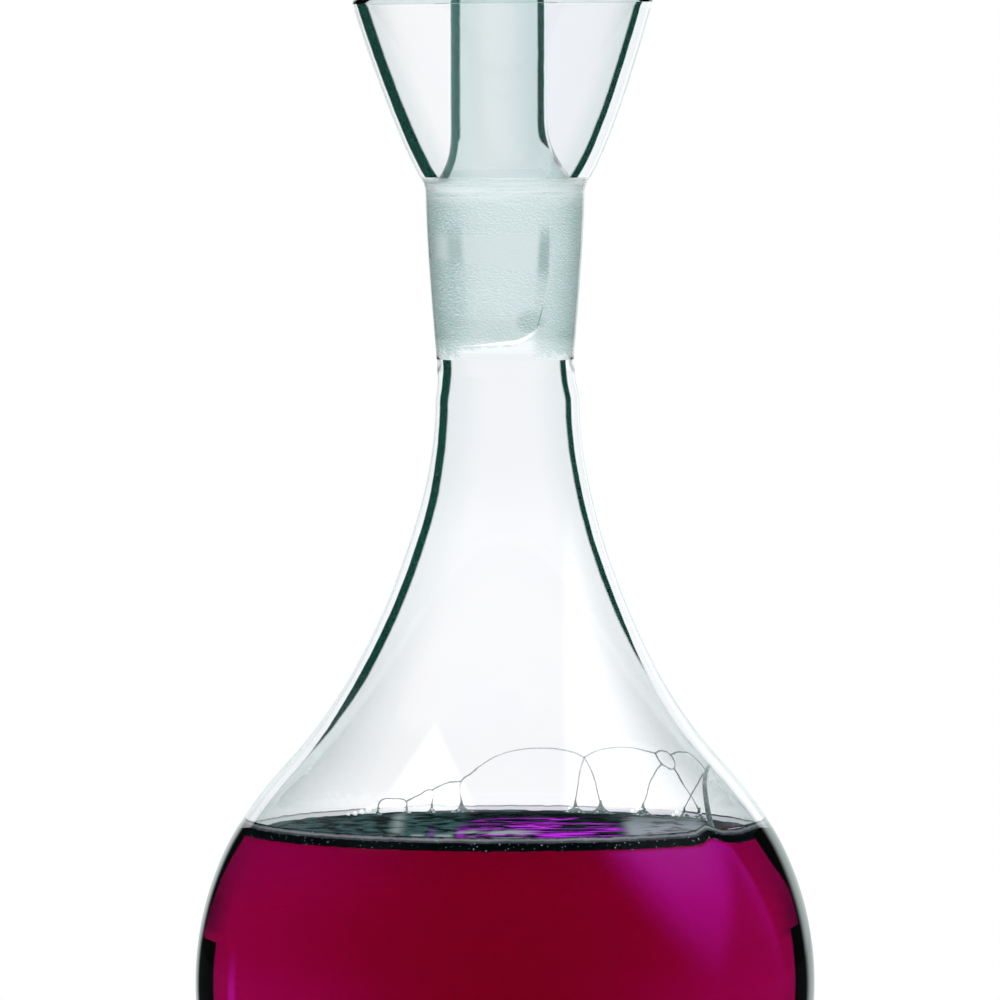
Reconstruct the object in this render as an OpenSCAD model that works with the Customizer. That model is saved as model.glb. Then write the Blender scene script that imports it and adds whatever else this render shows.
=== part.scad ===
// Separatory funnel: a blown glass globe with a flared cup mouth, a ground taper joint with its
// hollow stopper, and a tapered drain stopcock over a bevelled stem. Millimetres, +Z up.
// The origin lies on the axis, in the plane where a support ring carries the globe.

/* [Globe and neck] */
// Outer diameter of the globe
globe_d = 105; // [100:1:110]
// Thickness of the blown wall
wall = 1.6; // [1.4:0.1:1.8]
// Inner diameter of the support ring that the globe sits in
ring_d = 80; // [76:1:84]
// Outer diameter of the neck where the flare starts
neck_d = 24.6; // [24.4:0.1:25.4]
// Height of the ground joint's lower end above the globe's centre
joint_rise = 107.3; // [104:0.1:112]
// Slope of the shoulder where the flare meets the globe, in degrees from upright
shoulder_a = 46; // [42:1:48]

/* [Ground joint] */
// Large end diameter of the ground taper
joint_d = 24; // [23.6:0.1:24.4]
// Length of the ground taper
joint_l = 29; // [28:0.5:30]
// Running gap between the ground faces, square to the axis
joint_gap = 0.05; // [0.03:0.01:0.08]

/* [Cup mouth] */
// Outer diameter of the cup at its rim
cup_d = 50.8; // [48:0.2:54]
// Height of the cup above the ground joint
cup_h = 29.7; // [27:0.1:32]
// Wall of the cup at its rim
cup_wall = 2; // [1.8:0.1:2.2]

/* [Stopper] */
// Outer diameter of the stopper's tubular shank
shank_d = 16.4; // [15:0.2:17]
// Outer diameter of the stopper's hollow ball head
head_d = 32; // [28:0.5:36]
// Wall of the blown shank and head
stopper_wall = 1.3; // [1.1:0.1:1.5]
// Length of the shank that stands above the cup's rim
shank_free = 6; // [4:0.5:10]

/* [Contents] */
// Height of the liquid's surface above the globe's centre
liquid_rise = 26.2; // [10:0.1:30]

/* [Stopcock] */
// Length of the stopcock barrel
barrel_l = 38; // [36:0.5:40]
// Bore diameter of the tapered barrel at its middle
barrel_d = 14; // [13.6:0.1:14.6]
// Wall of the stopcock barrel
barrel_wall = 2.2; // [2:0.1:2.4]
// Diameter of the drain hole through the plug
plug_bore = 4; // [3:0.1:4.2]
// Running gap between the plug and the barrel
plug_gap = 0.06; // [0.04:0.01:0.08]
// Length of the T handle's grip
handle_l = 40; // [34:1:44]
// Diameter of the plug's threaded end
thread_d = 8; // [7.6:0.1:8.2]
// Number of flutes round the tightening nut
nut_flutes = 10; // [8:1:12]

/* [Drain] */
// Outer diameter of the drain tube under the globe
tube_d = 13; // [12:0.2:14]
// Drop of the stopcock's axis below the globe's lowest point
barrel_drop = 27.5; // [26:0.5:32]
// Outer diameter of the stem
stem_d = 9; // [8.6:0.1:9.4]
// Bore of the stem
stem_bore = 5; // [4.6:0.1:5.2]
// Length of the stem to its tip
stem_l = 73; // [60:1:90]
// Slope of the bevelled tip, in degrees
tip_a = 30; // [20:1:35]

/* [Hidden] */
$fn = 96;

// Colours
glass = [0.86, 0.93, 0.91, 0.4];
liquid_red = [0.5, 0.0, 0.12, 0.85];
fluoropolymer = [0.95, 0.95, 0.93];
nut_white = [0.88, 0.89, 0.88];
seal_black = [0.08, 0.08, 0.08];

// Heights, from the support ring up
globe_r = globe_d / 2;
globe_in = globe_r - wall;
globe_z = sqrt(globe_r * globe_r - ring_d * ring_d / 4);
joint_z = globe_z + joint_rise;
cup_z = joint_z + joint_l;
rim_z = cup_z + cup_h;

// Ground joint: one in ten on the diameter
joint_slope = 1 / 20;
joint_top_r = joint_d / 2;
joint_end_r = joint_top_r - joint_l * joint_slope;

// Neck: a waist just under the joint, where the socket is welded on, then the straight start
waist_r = joint_end_r + 1.2;
waist_in = waist_r - wall;
weld_z = joint_z - 4.3;
neck_r = neck_d / 2;
neck_z = weld_z - 8;
neck_pull = 18;
shoulder_pull = 15;

// Cup: its foot stands on the socket's shoulder
cup_r = cup_d / 2;
cup_foot_r = joint_top_r + 2.4;
cup_foot_z = cup_z + 0.2;
socket_top_r = joint_top_r + 1.45;
socket_top_z = cup_z - 2.5;

// Drain: the tube leaves the globe in a fillet
tube_r = tube_d / 2;
fillet_r = 10;
fillet_x = tube_r + fillet_r;
fillet_z = globe_z - sqrt(pow(globe_r + fillet_r, 2) - fillet_x * fillet_x);
fillet_a = asin((globe_z - fillet_z) / (globe_r + fillet_r));
tube_end_z = fillet_z - 3.5;

// Stopcock
barrel_z = globe_z - globe_r - barrel_drop;
barrel_slope = 1 / 10;
barrel_r = barrel_d / 2;
barrel_half = barrel_l / 2;
rim_bead = 0.9;
port_r = plug_bore / 2 + 0.2;
arm_flare = 1.6;
stem_r = stem_d / 2;
stem_in = stem_bore / 2;
stem_top_z = barrel_z - barrel_r - barrel_wall - 7;
stem_tip_z = stem_top_z - stem_l;

// Plug, and the washer, ring and nut on its threaded end
plug_recess = 0.8;
thread_r = thread_d / 2;
thread_l = 14.5;
thread_flat = 0.6;
seat_gap = 0.05;
washer_t = 1.5;
washer_r = 6.8;
o_ring_t = 2.4;
nut_t = 8;
nut_r = 8.5;
flute_r = 1.5;
washer_x = -barrel_half - 2 * seat_gap;
o_ring_x = washer_x - washer_t - seat_gap;
nut_x = o_ring_x - o_ring_t - seat_gap;
collar_r = barrel_r + 3.4;
collar_t = 2.5;
collar_x = barrel_half + 1.5;
handle_t = 10;
grip_t = 6;
grip_end_r = 4.6;
hub_r = 7.5;

// Stopper: the plug ends above the joint's lower end, and the shank clears the cup
plug_end_z = joint_z + 1.9;
plug_end_round = 2.4;
plug_top_z = cup_z - 0.8;
shank_r = shank_d / 2;
shank_in = shank_r - stopper_wall;
shank_z = cup_z + 10;
shank_top_z = rim_z + shank_free;
head_r = head_d / 2;
throat_r = 7;
head_z = shank_top_z + sqrt(pow(head_r + throat_r, 2) - pow(shank_r + throat_r, 2));
throat_a = acos((shank_r + throat_r) / (head_r + throat_r));
hollow_end_z = plug_end_z + 2.6;
hollow_r = 8;

// Contents: the surface climbs the glass in a small meniscus
liquid_z = globe_z + liquid_rise;
liquid_gap = 0.1;
liquid_r = globe_in - liquid_gap;
meniscus = 1;
meniscus_w = 2.6;

steps = 24;

// Points along an arc about c, from angle a to angle b
function arc(c, r, a, b, n = steps) =
    [for (i = [0 : n]) c + r * [cos(a + (b - a) * i / n), sin(a + (b - a) * i / n)]];

// A cubic curve through p[0] and p[3], and the direction that it runs in
function curve_at(p, t) =
    pow(1 - t, 3) * p[0] + 3 * t * pow(1 - t, 2) * p[1] + 3 * t * t * (1 - t) * p[2] + pow(t, 3) * p[3];
function curve_run(p, t) =
    pow(1 - t, 2) * (p[1] - p[0]) + 2 * t * (1 - t) * (p[2] - p[1]) + t * t * (p[3] - p[2]);

// Points along the curve, moved in to its left by inset
function curve(p, inset = 0, n = steps) =
    [for (i = [0 : n]) let (d = curve_run(p, i / n)) curve_at(p, i / n) + inset * [d.y, -d.x] / norm(d)];

// A half wave from radius r0 at height z0 to radius r1 at height z1
function ease(r0, z0, r1, z1, n = 8) =
    [for (i = [0 : n]) [r0 + (r1 - r0) * (1 - cos(180 * i / n)) / 2, z0 + (z1 - z0) * i / n]];

// The same points from last to first
function back(list) = [for (i = [len(list) - 1 : -1 : 0]) list[i]];

// A ray from the globe's centre at angle a, out to radius r
function on_globe(r, a) = [0, globe_z] + r * [cos(a), sin(a)];

shoulder = on_globe(globe_r, shoulder_a);
flare = [
    [neck_r, neck_z],
    [neck_r, neck_z - neck_pull],
    shoulder + shoulder_pull * [-sin(shoulder_a), cos(shoulder_a)],
    shoulder,
];

// The globe's outline from the weld down to the drain tube's end, set in by t
function globe_line(t, waist) = concat(
    ease(waist, weld_z, neck_r - t, neck_z),
    curve(flare, t),
    arc([0, globe_z], globe_r - t, shoulder_a, -fillet_a, 48),
    arc([fillet_x, fillet_z], fillet_r + t, 180 - fillet_a, 180, 12),
    [[tube_r - t, tube_end_z]]
);

module turned(points) {
    rotate_extrude() polygon(points);
}

// Turned about the stopcock's axis: x is the radius and y the place along +X
module turned_across(points) {
    translate([0, 0, barrel_z]) rotate([0, 90, 0]) rotate_extrude() polygon(points);
}

// Flared cup and ground socket, one blown piece
module cup_and_socket() {
    lip = cup_wall / 2;
    cup_out = [
        [cup_r, rim_z - lip],
        [cup_r - 2.4, rim_z - 9.7],
        [cup_foot_r + 2.65, cup_foot_z + 4.24],
        [cup_foot_r, cup_foot_z],
    ];
    cup_in = [
        [cup_r - cup_wall, rim_z - lip],
        [cup_r - cup_wall - 3.1, rim_z - 11.6],
        [joint_top_r + 2.94, cup_z + 4.35],
        [joint_top_r, cup_z],
    ];
    shoulder_line = [
        [cup_foot_r, cup_foot_z],
        [cup_foot_r - 0.6, cup_foot_z - 1],
        [socket_top_r + 0.05, socket_top_z + 1],
        [socket_top_r, socket_top_z],
    ];
    color(glass) turned(concat(
        back(arc([cup_r - lip, rim_z - lip], lip, 0, 180, 12)),
        curve(cup_out),
        curve(shoulder_line, n = 6),
        [[waist_r, joint_z - 1.5], [waist_r, weld_z], [waist_in, weld_z], [waist_in, joint_z - 1.5]],
        [[joint_end_r, joint_z]],
        back(curve(cup_in))
    ));
}

// Flared neck, globe and the start of the drain tube, one blown piece
module globe() {
    color(glass) turned(concat(globe_line(0, waist_r), back(globe_line(wall, waist_in))));
}

// Tapered stopcock barrel across the drain, with its two arms
module stopcock_barrel() {
    function bore_r(x) = barrel_r + barrel_slope * x;
    function skin_r(x) = bore_r(x) + barrel_wall;
    bead = 3;
    skin_z = barrel_z + barrel_r;
    arm_foot_z = barrel_z + barrel_r + barrel_wall - 1.2;
    bead_x = barrel_half - bead;
    small_end = ease(skin_r(-barrel_half) + rim_bead, -barrel_half, skin_r(-bead_x), -bead_x);
    large_end = ease(skin_r(bead_x), bead_x, skin_r(barrel_half) + rim_bead, barrel_half);
    color(glass) difference() {
        union() {
            turned_across(concat([[0, -barrel_half]], small_end, large_end, [[0, barrel_half]]));
            turned(concat(
                [[0, tube_end_z]],
                ease(tube_r, tube_end_z, tube_r + arm_flare, arm_foot_z),
                [[tube_r + arm_flare, barrel_z], [0, barrel_z]]
            ));
            turned(concat(
                [[0, stem_top_z]],
                ease(stem_r, stem_top_z, stem_r + arm_flare, 2 * barrel_z - arm_foot_z),
                [[stem_r + arm_flare, barrel_z], [0, barrel_z]]
            ));
        }
        turned_across([
            [0, -barrel_half - 1],
            [bore_r(-barrel_half - 1), -barrel_half - 1],
            [bore_r(barrel_half + 1), barrel_half + 1],
            [0, barrel_half + 1],
        ]);
        turned(concat(
            [[0, tube_end_z + 1], [tube_r - wall, tube_end_z + 1]],
            ease(tube_r - wall, tube_end_z, port_r, skin_z + 1.6),
            [[port_r, barrel_z], [0, barrel_z]]
        ));
        turned([
            [0, barrel_z],
            [port_r, barrel_z],
            [port_r, barrel_z - barrel_r - barrel_wall],
            [stem_in, stem_top_z],
            [stem_in, stem_top_z - 1],
            [0, stem_top_z - 1],
        ]);
    }
}

// Stem with its tip cut on a bevel
module drain_stem() {
    color(glass) difference() {
        translate([0, 0, stem_tip_z]) cylinder(r = stem_r, h = stem_l);
        translate([0, 0, stem_tip_z - 1]) cylinder(r = stem_in, h = stem_l + 2);
        translate([stem_r, 0, stem_tip_z]) rotate([0, tip_a, 0])
            translate([-4 * stem_r, -stem_d, -stem_l]) cube([8 * stem_r, 2 * stem_d, stem_l]);
    }
}

// Hollow stopper: ground plug, tubular shank and ball head, with one sealed hollow
module stopper() {
    function plug_r(z) = joint_end_r + (z - joint_z) * joint_slope - joint_gap;
    outer_shoulder = [
        [plug_r(plug_top_z), plug_top_z],
        [plug_r(plug_top_z) + 0.2, plug_top_z + 3],
        [shank_r, cup_z + 3.4],
        [shank_r, shank_z],
    ];
    inner_shoulder = [
        [hollow_r, plug_top_z - 3],
        [hollow_r + 1.6, plug_top_z + 2],
        [shank_in, cup_z + 3],
        [shank_in, shank_z],
    ];
    corner_r = plug_r(plug_end_z) - plug_end_round;
    color(glass) difference() {
        turned(concat(
            [[0, plug_end_z]],
            arc([corner_r, plug_end_z + plug_end_round], plug_end_round, -90, 0, 8),
            curve(outer_shoulder),
            arc([shank_r + throat_r, shank_top_z], throat_r, 180, 180 - throat_a, 12),
            arc([0, head_z], head_r, -throat_a, 90, 32)
        ));
        turned(concat(
            [[0, hollow_end_z]],
            arc([hollow_r - plug_end_round, hollow_end_z + plug_end_round], plug_end_round, -90, 0, 8),
            curve(inner_shoulder),
            arc([shank_r + throat_r, shank_top_z], throat_r + stopper_wall, 180, 180 - throat_a, 12),
            arc([0, head_z], head_r - stopper_wall, -throat_a, 90, 32)
        ));
    }
}

// Tapered plug with its drain hole, threaded end and T handle, turned shut
module stopcock_plug() {
    function plug_r(x) = barrel_r + barrel_slope * x - plug_gap;
    small_x = plug_recess - barrel_half;
    handle_x = collar_x + collar_t;
    grip_y = handle_l / 2 - grip_end_r;
    color(fluoropolymer) difference() {
        union() {
            turned_across([
                [0, nut_x - nut_t - 2],
                [thread_r, nut_x - nut_t - 2],
                [thread_r, small_x],
                [plug_r(small_x), small_x],
                [plug_r(collar_x), collar_x],
                [collar_r, collar_x],
                [collar_r, handle_x],
                [hub_r, handle_x],
                [hub_r, handle_x + handle_t],
                [0, handle_x + handle_t],
            ]);
            translate([handle_x, 0, barrel_z]) rotate([90, 0, 90]) linear_extrude(handle_t) {
                square([2 * grip_y, grip_t], center = true);
                for (side = [-1, 1]) translate([side * grip_y, 0]) circle(grip_end_r);
            }
        }
        translate([0, 0, barrel_z]) rotate([90, 0, 0])
            cylinder(d = plug_bore, h = 3 * barrel_d, center = true);
        for (side = [0, 180]) translate([0, 0, barrel_z]) rotate([side, 0, 0])
            translate([small_x - 40, -thread_d, thread_r - thread_flat]) cube([39.5, 2 * thread_d, thread_d]);
    }
}

// Flat washer, keyed to the flats of the threaded end
module plug_washer() {
    hole_r = thread_r + seat_gap;
    flat = thread_r - thread_flat + seat_gap;
    color(fluoropolymer) translate([washer_x - washer_t, 0, barrel_z]) rotate([90, 0, 90])
        linear_extrude(washer_t) difference() {
            circle(washer_r);
            intersection() {
                circle(hole_r);
                square([3 * hole_r, 2 * flat], center = true);
            }
        }
}

// Rubber ring between washer and nut
module plug_o_ring() {
    color(seal_black) translate([o_ring_x - o_ring_t / 2, 0, barrel_z]) rotate([0, 90, 0])
        rotate_extrude() translate([thread_r + seat_gap + o_ring_t / 2, 0]) circle(d = o_ring_t);
}

// Fluted nut that draws the plug into its taper
module plug_nut() {
    color(nut_white) translate([nut_x - nut_t, 0, barrel_z]) rotate([90, 0, 90])
        linear_extrude(nut_t) difference() {
            circle(nut_r);
            circle(thread_r + seat_gap);
            for (i = [1 : nut_flutes]) rotate((i + 0.5) * 360 / nut_flutes)
                translate([nut_r + flute_r / 3, 0]) circle(flute_r);
        }
}

// The liquid that the globe holds, down to the closed stopcock
module red_liquid() {
    edge_z = liquid_z + meniscus;
    edge_a = asin((edge_z - globe_z) / liquid_r);
    edge_r = liquid_r * cos(edge_a);
    inset = wall + liquid_gap;
    color(liquid_red) turned(concat(
        [[0, liquid_z], [edge_r - meniscus_w, liquid_z]],
        [for (i = [1 : 6]) [edge_r - meniscus_w * (1 - i / 6), liquid_z + meniscus * pow(i / 6, 2)]],
        arc([0, globe_z], liquid_r, edge_a, -fillet_a, 48),
        arc([fillet_x, fillet_z], fillet_r + inset, 180 - fillet_a, 180, 12),
        [[tube_r - inset, tube_end_z + 0.5], [0, tube_end_z + 0.5]]
    ));
}

cup_and_socket();
globe();
stopcock_barrel();
drain_stem();
stopper();
stopcock_plug();
plug_washer();
plug_o_ring();
plug_nut();
red_liquid();
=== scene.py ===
"""Looks of a separatory funnel: blown glass, a ground stopper, red contents and a plastic stopcock."""

import math

import bmesh
import bpy
from bpy.props import FloatProperty, FloatVectorProperty, IntProperty, PointerProperty
from mathutils import Matrix, Vector


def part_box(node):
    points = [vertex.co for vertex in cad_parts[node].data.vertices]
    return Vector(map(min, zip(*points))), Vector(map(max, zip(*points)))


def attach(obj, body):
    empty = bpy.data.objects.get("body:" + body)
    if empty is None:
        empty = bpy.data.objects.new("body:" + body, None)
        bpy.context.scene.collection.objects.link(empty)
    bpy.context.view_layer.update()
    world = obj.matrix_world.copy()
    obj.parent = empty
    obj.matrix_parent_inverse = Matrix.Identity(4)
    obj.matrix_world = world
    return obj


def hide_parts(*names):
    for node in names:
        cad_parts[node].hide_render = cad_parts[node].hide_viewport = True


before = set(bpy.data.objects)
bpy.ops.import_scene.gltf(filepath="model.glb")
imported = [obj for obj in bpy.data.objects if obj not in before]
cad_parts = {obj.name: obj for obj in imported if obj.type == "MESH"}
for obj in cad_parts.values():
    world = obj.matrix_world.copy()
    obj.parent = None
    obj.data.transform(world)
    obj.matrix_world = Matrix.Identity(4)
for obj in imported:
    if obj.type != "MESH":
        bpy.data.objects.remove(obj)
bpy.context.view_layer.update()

bl_info = {
    "name": "Separatory funnel",
    "version": (1, 0, 0),
    "blender": (4, 5, 0),
    "location": "3D View > Sidebar > Funnel",
    "description": "Builds the glass, the contents, the stopcock and the studio of a separatory funnel",
    "category": "Object",
}

MM = 0.001


def node_box(name):
    """Lowest and highest corner of a solid of the frame, in millimetres."""
    low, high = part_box(name)
    return low / MM, high / MM


CUP_LOW, CUP_HIGH = node_box("cup_and_socket")
GLOBE_LOW, GLOBE_HIGH = node_box("globe")
BARREL_HIGH = node_box("stopcock_barrel")[1]
STEM_LOW, STEM_HIGH = node_box("drain_stem")
STOPPER_LOW, STOPPER_HIGH = node_box("stopper")
PLUG_LOW, PLUG_HIGH = node_box("stopcock_plug")
WASHER_LOW, WASHER_HIGH = node_box("plug_washer")
RING_LOW, RING_HIGH = node_box("plug_o_ring")
NUT_LOW, NUT_HIGH = node_box("plug_nut")
LIQUID_LOW, LIQUID_HIGH = node_box("red_liquid")


# Settings

def length(name, text, millimetres):
    """A length property whose default is given in millimetres."""
    return FloatProperty(name=name, description=text, default=millimetres * MM, min=0, precision=5,
                         unit="LENGTH")


def colour(name, text, value):
    """A colour property in linear light."""
    return FloatVectorProperty(name=name, description=text, default=value, size=3, min=0, max=1,
                               subtype="COLOR")


class FunnelGlassSettings(bpy.types.PropertyGroup):
    """Sizes and tones of the blown glass."""

    segments: IntProperty(name="Segments", description="Facets round a blown form", default=192, min=48)
    wall: length("Wall", "Thickness of the blown wall", 1.6)
    lip: length("Lip", "Radius of the fire-polished rim", 1.0)
    lean: length("Lean", "How far the stopper's shank stands off its plug's axis", 1.1)
    # Painted tones of the glass's edges: a painted dark line (paler in a thin wall), a pale band of
    # painted reflection, a painted outline and a painted green shade beside the line
    line: colour("Wall line", "Dark line where the wall is seen edge on", (0.010, 0.062, 0.046))
    pale_line: colour("Pale line", "The same line in a thin wall", (0.066, 0.175, 0.158))
    band: colour("Band", "Pale band between the dark line and the outline", (0.93, 0.965, 0.968))
    outline: colour("Outline", "Thin edge of the glass", (0.80, 0.85, 0.87))
    shade: colour("Shade", "Green cast of the wall beside its dark line", (0.60, 0.76, 0.73))
    body: colour("Body", "Tone of the wall seen square on", (0.990, 0.993, 1.0))
    neck: colour("Neck", "The same tone in the thicker neck", (0.950, 0.960, 0.983))
    cup: colour("Cup", "The same tone on the right of the cup", (0.905, 0.925, 0.95))
    shank: colour("Shank", "Tone of the stopper's shank seen square on", (0.902, 0.938, 0.930))
    # Painted purple shade of the wet wall beside its dark line
    wet_shade: colour("Wet shade", "Purple cast of the wet wall beside its dark line", (0.36, 0.2, 0.62))
    frost: colour("Frost", "Middle of the ground joint", (0.83, 0.902, 0.908))
    # Painted shade at the sides of the ground joint, towards its outline
    frost_edge_shade: colour("Frost, sides", "Sides of the ground joint", (0.66, 0.82, 0.81))


class FunnelContentsSettings(bpy.types.PropertyGroup):
    """Sizes and tones of the contents."""

    overlap: length("Overlap", "How far the contents reach into the glass skin", 0.2)
    dye: colour("Dye", "Colour that the contents let through", (0.90, 0.0, 0.765))
    density: FloatProperty(name="Density", description="Strength of the dye", default=161, min=0)
    # Painted glow on the right side of the contents
    glow: colour("Glow", "Light that the right side of the contents gathers", (0.16, 0.004, 0.19))
    # Tones of the sheet of painted reflection on the liquid's surface: its dark ground, ripples, glints,
    # grey right side and purple streaks, also used in the painted edge band
    skin: colour("Skin", "Dark film on the surface", (0.001, 0.005, 0.006))
    ripple: colour("Ripple", "Grey ripples in the film", (0.05, 0.115, 0.115))
    glint: colour("Glint", "Pale glints in the film", (0.38, 0.46, 0.45))
    grey_reflection: colour("Mist", "Grey right side of the film", (0.34, 0.38, 0.42))
    streak: colour("Streak", "Purple streaks in the film", (0.66, 0.03, 0.92))
    foam: colour("Foam", "Borders of the bubbles", (0.22, 0.31, 0.30))


class FunnelStopcockSettings(bpy.types.PropertyGroup):
    """Tones of the stopcock's plastic and rubber."""

    plug: colour("Plug", "White fluoropolymer", (0.84, 0.84, 0.82))
    nut: colour("Nut", "Moulded nut", (0.76, 0.775, 0.765))
    rubber: colour("Rubber", "Black seal", (0.018, 0.018, 0.019))


class FunnelStageSettings(bpy.types.PropertyGroup):
    """Camera, lamps and floor."""

    camera_distance: length("Camera distance", "From the funnel's axis to the camera", 1970)
    picture_width: length("Picture width", "Width that the picture takes in at the axis", 169.35)
    axis_shift: length("Axis shift", "How far the axis stands right of the picture's middle", 0.85)
    aim_height: length("Aim height", "Height of the picture's middle", 115.8)
    floor_gap: length("Floor gap", "Room between the stem's tip and the floor", 28)
    floor_radius: length("Floor radius", "Reach of the floor", 6000)
    ambient: FloatProperty(name="Ambient", description="Light from all round", default=0.62, min=0)
    softbox: FloatProperty(name="Softbox", description="Power of the right softbox", default=2.6, min=0,
                           unit="POWER")


# Profiles, as lists of (radius, height) in millimetres

def arc(centre, radius, start, end, steps):
    """Points of an arc, with its angles in degrees from the outward direction."""
    angles = [math.radians(start + (end - start) * i / steps) for i in range(steps + 1)]
    return [(centre[0] + radius * math.cos(a), centre[1] + radius * math.sin(a)) for a in angles]


def cubic(p0, p1, p2, p3, steps):
    """Points of a cubic curve."""
    points = []
    for i in range(steps + 1):
        t = i / steps
        u = 1 - t
        weights = (u ** 3, 3 * u * u * t, 3 * u * t * t, t ** 3)
        points.append(tuple(sum(w * p[k] for w, p in zip(weights, (p0, p1, p2, p3))) for k in (0, 1)))
    return points


def ease(start, end, steps):
    """A half wave from one point to another, upright at both ends."""
    points = []
    for i in range(steps + 1):
        t = i / steps
        share = (1 - math.cos(math.pi * t)) / 2
        points.append((start[0] + (end[0] - start[0]) * share, start[1] + (end[1] - start[1]) * t))
    return points


def line(start, end, steps=1):
    """Evenly spaced points of a straight stretch."""
    return [tuple(start[k] + (end[k] - start[k]) * i / steps for k in (0, 1)) for i in range(steps + 1)]


def joined(*stretches):
    """Stretches in a row, without doubled points."""
    points = []
    for stretch in stretches:
        for p in stretch:
            if not points or math.dist(points[-1], p) > 0.005:
                points.append(p)
    return points


def inset(points, depth):
    """The same profile moved by depth to the right of its direction."""
    moved = []
    for i, p in enumerate(points):
        a = points[max(i - 1, 0)]
        b = points[min(i + 1, len(points) - 1)]
        run = math.dist(a, b)
        moved.append((p[0] + depth * (b[1] - a[1]) / run, p[1] - depth * (b[0] - a[0]) / run))
    return moved


def softened(points, height, reach, passes):
    """The same profile with its bend near a height eased out."""
    for _ in range(passes):
        eased = list(points)
        for i in range(1, len(points) - 1):
            share = 0.5 * (1 - step_between(0.5 * reach, reach, abs(points[i][1] - height)))
            middle = [(a + b) / 2 for a, b in zip(points[i - 1], points[i + 1])]
            eased[i] = tuple(p + share * (m - p) for p, m in zip(points[i], middle))
        points = eased
    return points


def step_between(low, high, value):
    """A smooth step from 0 at low to 1 at high."""
    t = min(max((value - low) / (high - low), 0), 1)
    return t * t * (3 - 2 * t)


# Meshes

OUTER, INNER, GROUND, WET, SOCKET, LIP, SHANK, HOLLOW, FUSED = range(9)


def rows_of(points, surface=OUTER):
    """Profile points tagged with the surface that they belong to."""
    return [(r, z, surface) for r, z in points]


def edge_radius(rows, i):
    """Radius of the circle that a wall seems to have where it turns away from the eye."""
    near = [rows[k] for k in (i - 1, i + 1) if 0 <= k < len(rows) and rows[k][2] == rows[i][2]]
    a = near[0] if near else rows[i]
    b = near[1] if len(near) > 1 else rows[i]
    run = math.hypot(b[0] - a[0], b[1] - a[1]) or 1
    upright = max(abs(b[1] - a[1]) / run, 0.12)
    return rows[i][0] / upright


def face_surface(first, second):
    """Surface of the faces between two rows: a flat step between two surfaces is a fused end."""
    if first[2] == second[2]:
        return first[2]
    if abs(first[1] - second[1]) < 0.001:
        return FUSED
    for surface in (LIP, SOCKET, SHANK, WET, HOLLOW):
        if surface in (first[2], second[2]):
            return surface
    return OUTER


def turned(name, loops, segments, materials, wall_line=None, along="Z", shift=None):
    """A mesh of profiles turned about an axis. The solid lies to the right of each profile's direction.

    A loop that starts and ends on the axis is capped there, and any other loop is closed on itself.
    materials gives a material for each surface, and wall_line a point's edge values.
    shift moves a point after it is turned.
    """
    vertices, faces, surfaces, values = [], [], [], []
    for rows in loops:
        rings = []
        for i, (r, z, surface) in enumerate(rows):
            radius = edge_radius(rows, i)
            ring = []
            for j in range(1 if r < 1e-6 else segments):
                a = 2 * math.pi * j / segments
                u, v = r * math.cos(a), r * math.sin(a)
                point = (u, v, z) if along == "Z" else (z, u, v)
                if wall_line:
                    values.append(wall_line(point, surface, radius))
                if shift:
                    point = shift(point, surface)
                ring.append(len(vertices))
                vertices.append([c * MM for c in point])
            rings.append(ring)
        pairs = list(zip(range(len(rings)), range(1, len(rings))))
        if len(rings[0]) > 1 and len(rings[-1]) > 1:
            pairs.append((len(rings) - 1, 0))
        for i, k in pairs:
            top, low = rings[i], rings[k]
            surface = face_surface(rows[i], rows[k])
            for j in range(segments):
                n = (j + 1) % segments
                if len(top) == 1:
                    faces.append((top[0], low[j], low[n]))
                elif len(low) == 1:
                    faces.append((top[j], low[0], top[n]))
                else:
                    faces.append((top[j], low[j], low[n], top[n]))
                surfaces.append(surface)
    mesh = bpy.data.meshes.new(name)
    mesh.from_pydata(vertices, [], faces)
    give_materials(mesh, surfaces, materials)
    smooth(mesh)
    if wall_line:
        write_edges(mesh, values)
    return mesh


def give_materials(mesh, surfaces, materials):
    """Gives each face the material of its surface."""
    slots = []
    marks = []
    for surface in surfaces:
        material = materials[surface]
        if material not in slots:
            slots.append(material)
        marks.append(slots.index(material))
    for material in slots:
        mesh.materials.append(material)
    mesh.polygons.foreach_set("material_index", marks)


SHARP_ANGLE = 38


def smooth(mesh):
    """Smooth shading with real corners kept sharp."""
    mesh.shade_smooth()
    mesh.set_sharp_from_angle(angle=math.radians(SHARP_ANGLE))
    mesh.validate()


def write_edges(mesh, values):
    """Stores a point's edge values, which place the painted wall line and shade: (line near, line far,
    shade) and (radius, reach, tone).
    """
    for name, first in (("wall_line", 0), ("wall_edge", 3)):
        layer = mesh.attributes.new(name, "FLOAT_VECTOR", "POINT")
        layer.data.foreach_set("vector", [n for v in values for n in v[first:first + 3]])


def in_scene(name, data):
    """A new object in the scene."""
    obj = bpy.data.objects.new(name, data)
    bpy.context.scene.collection.objects.link(obj)
    return obj


def mesh_of(name, form):
    """A mesh of a form that is finished."""
    mesh = bpy.data.meshes.new(name)
    form.to_mesh(mesh)
    form.free()
    return mesh


def piece(name, mesh, body, nodes=()):
    """Puts a mesh in the scene as a piece that rides on a body and stands for its solids."""
    obj = in_scene(name, mesh)
    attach(obj, body)
    if nodes:
        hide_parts(*nodes)
    return obj


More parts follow.
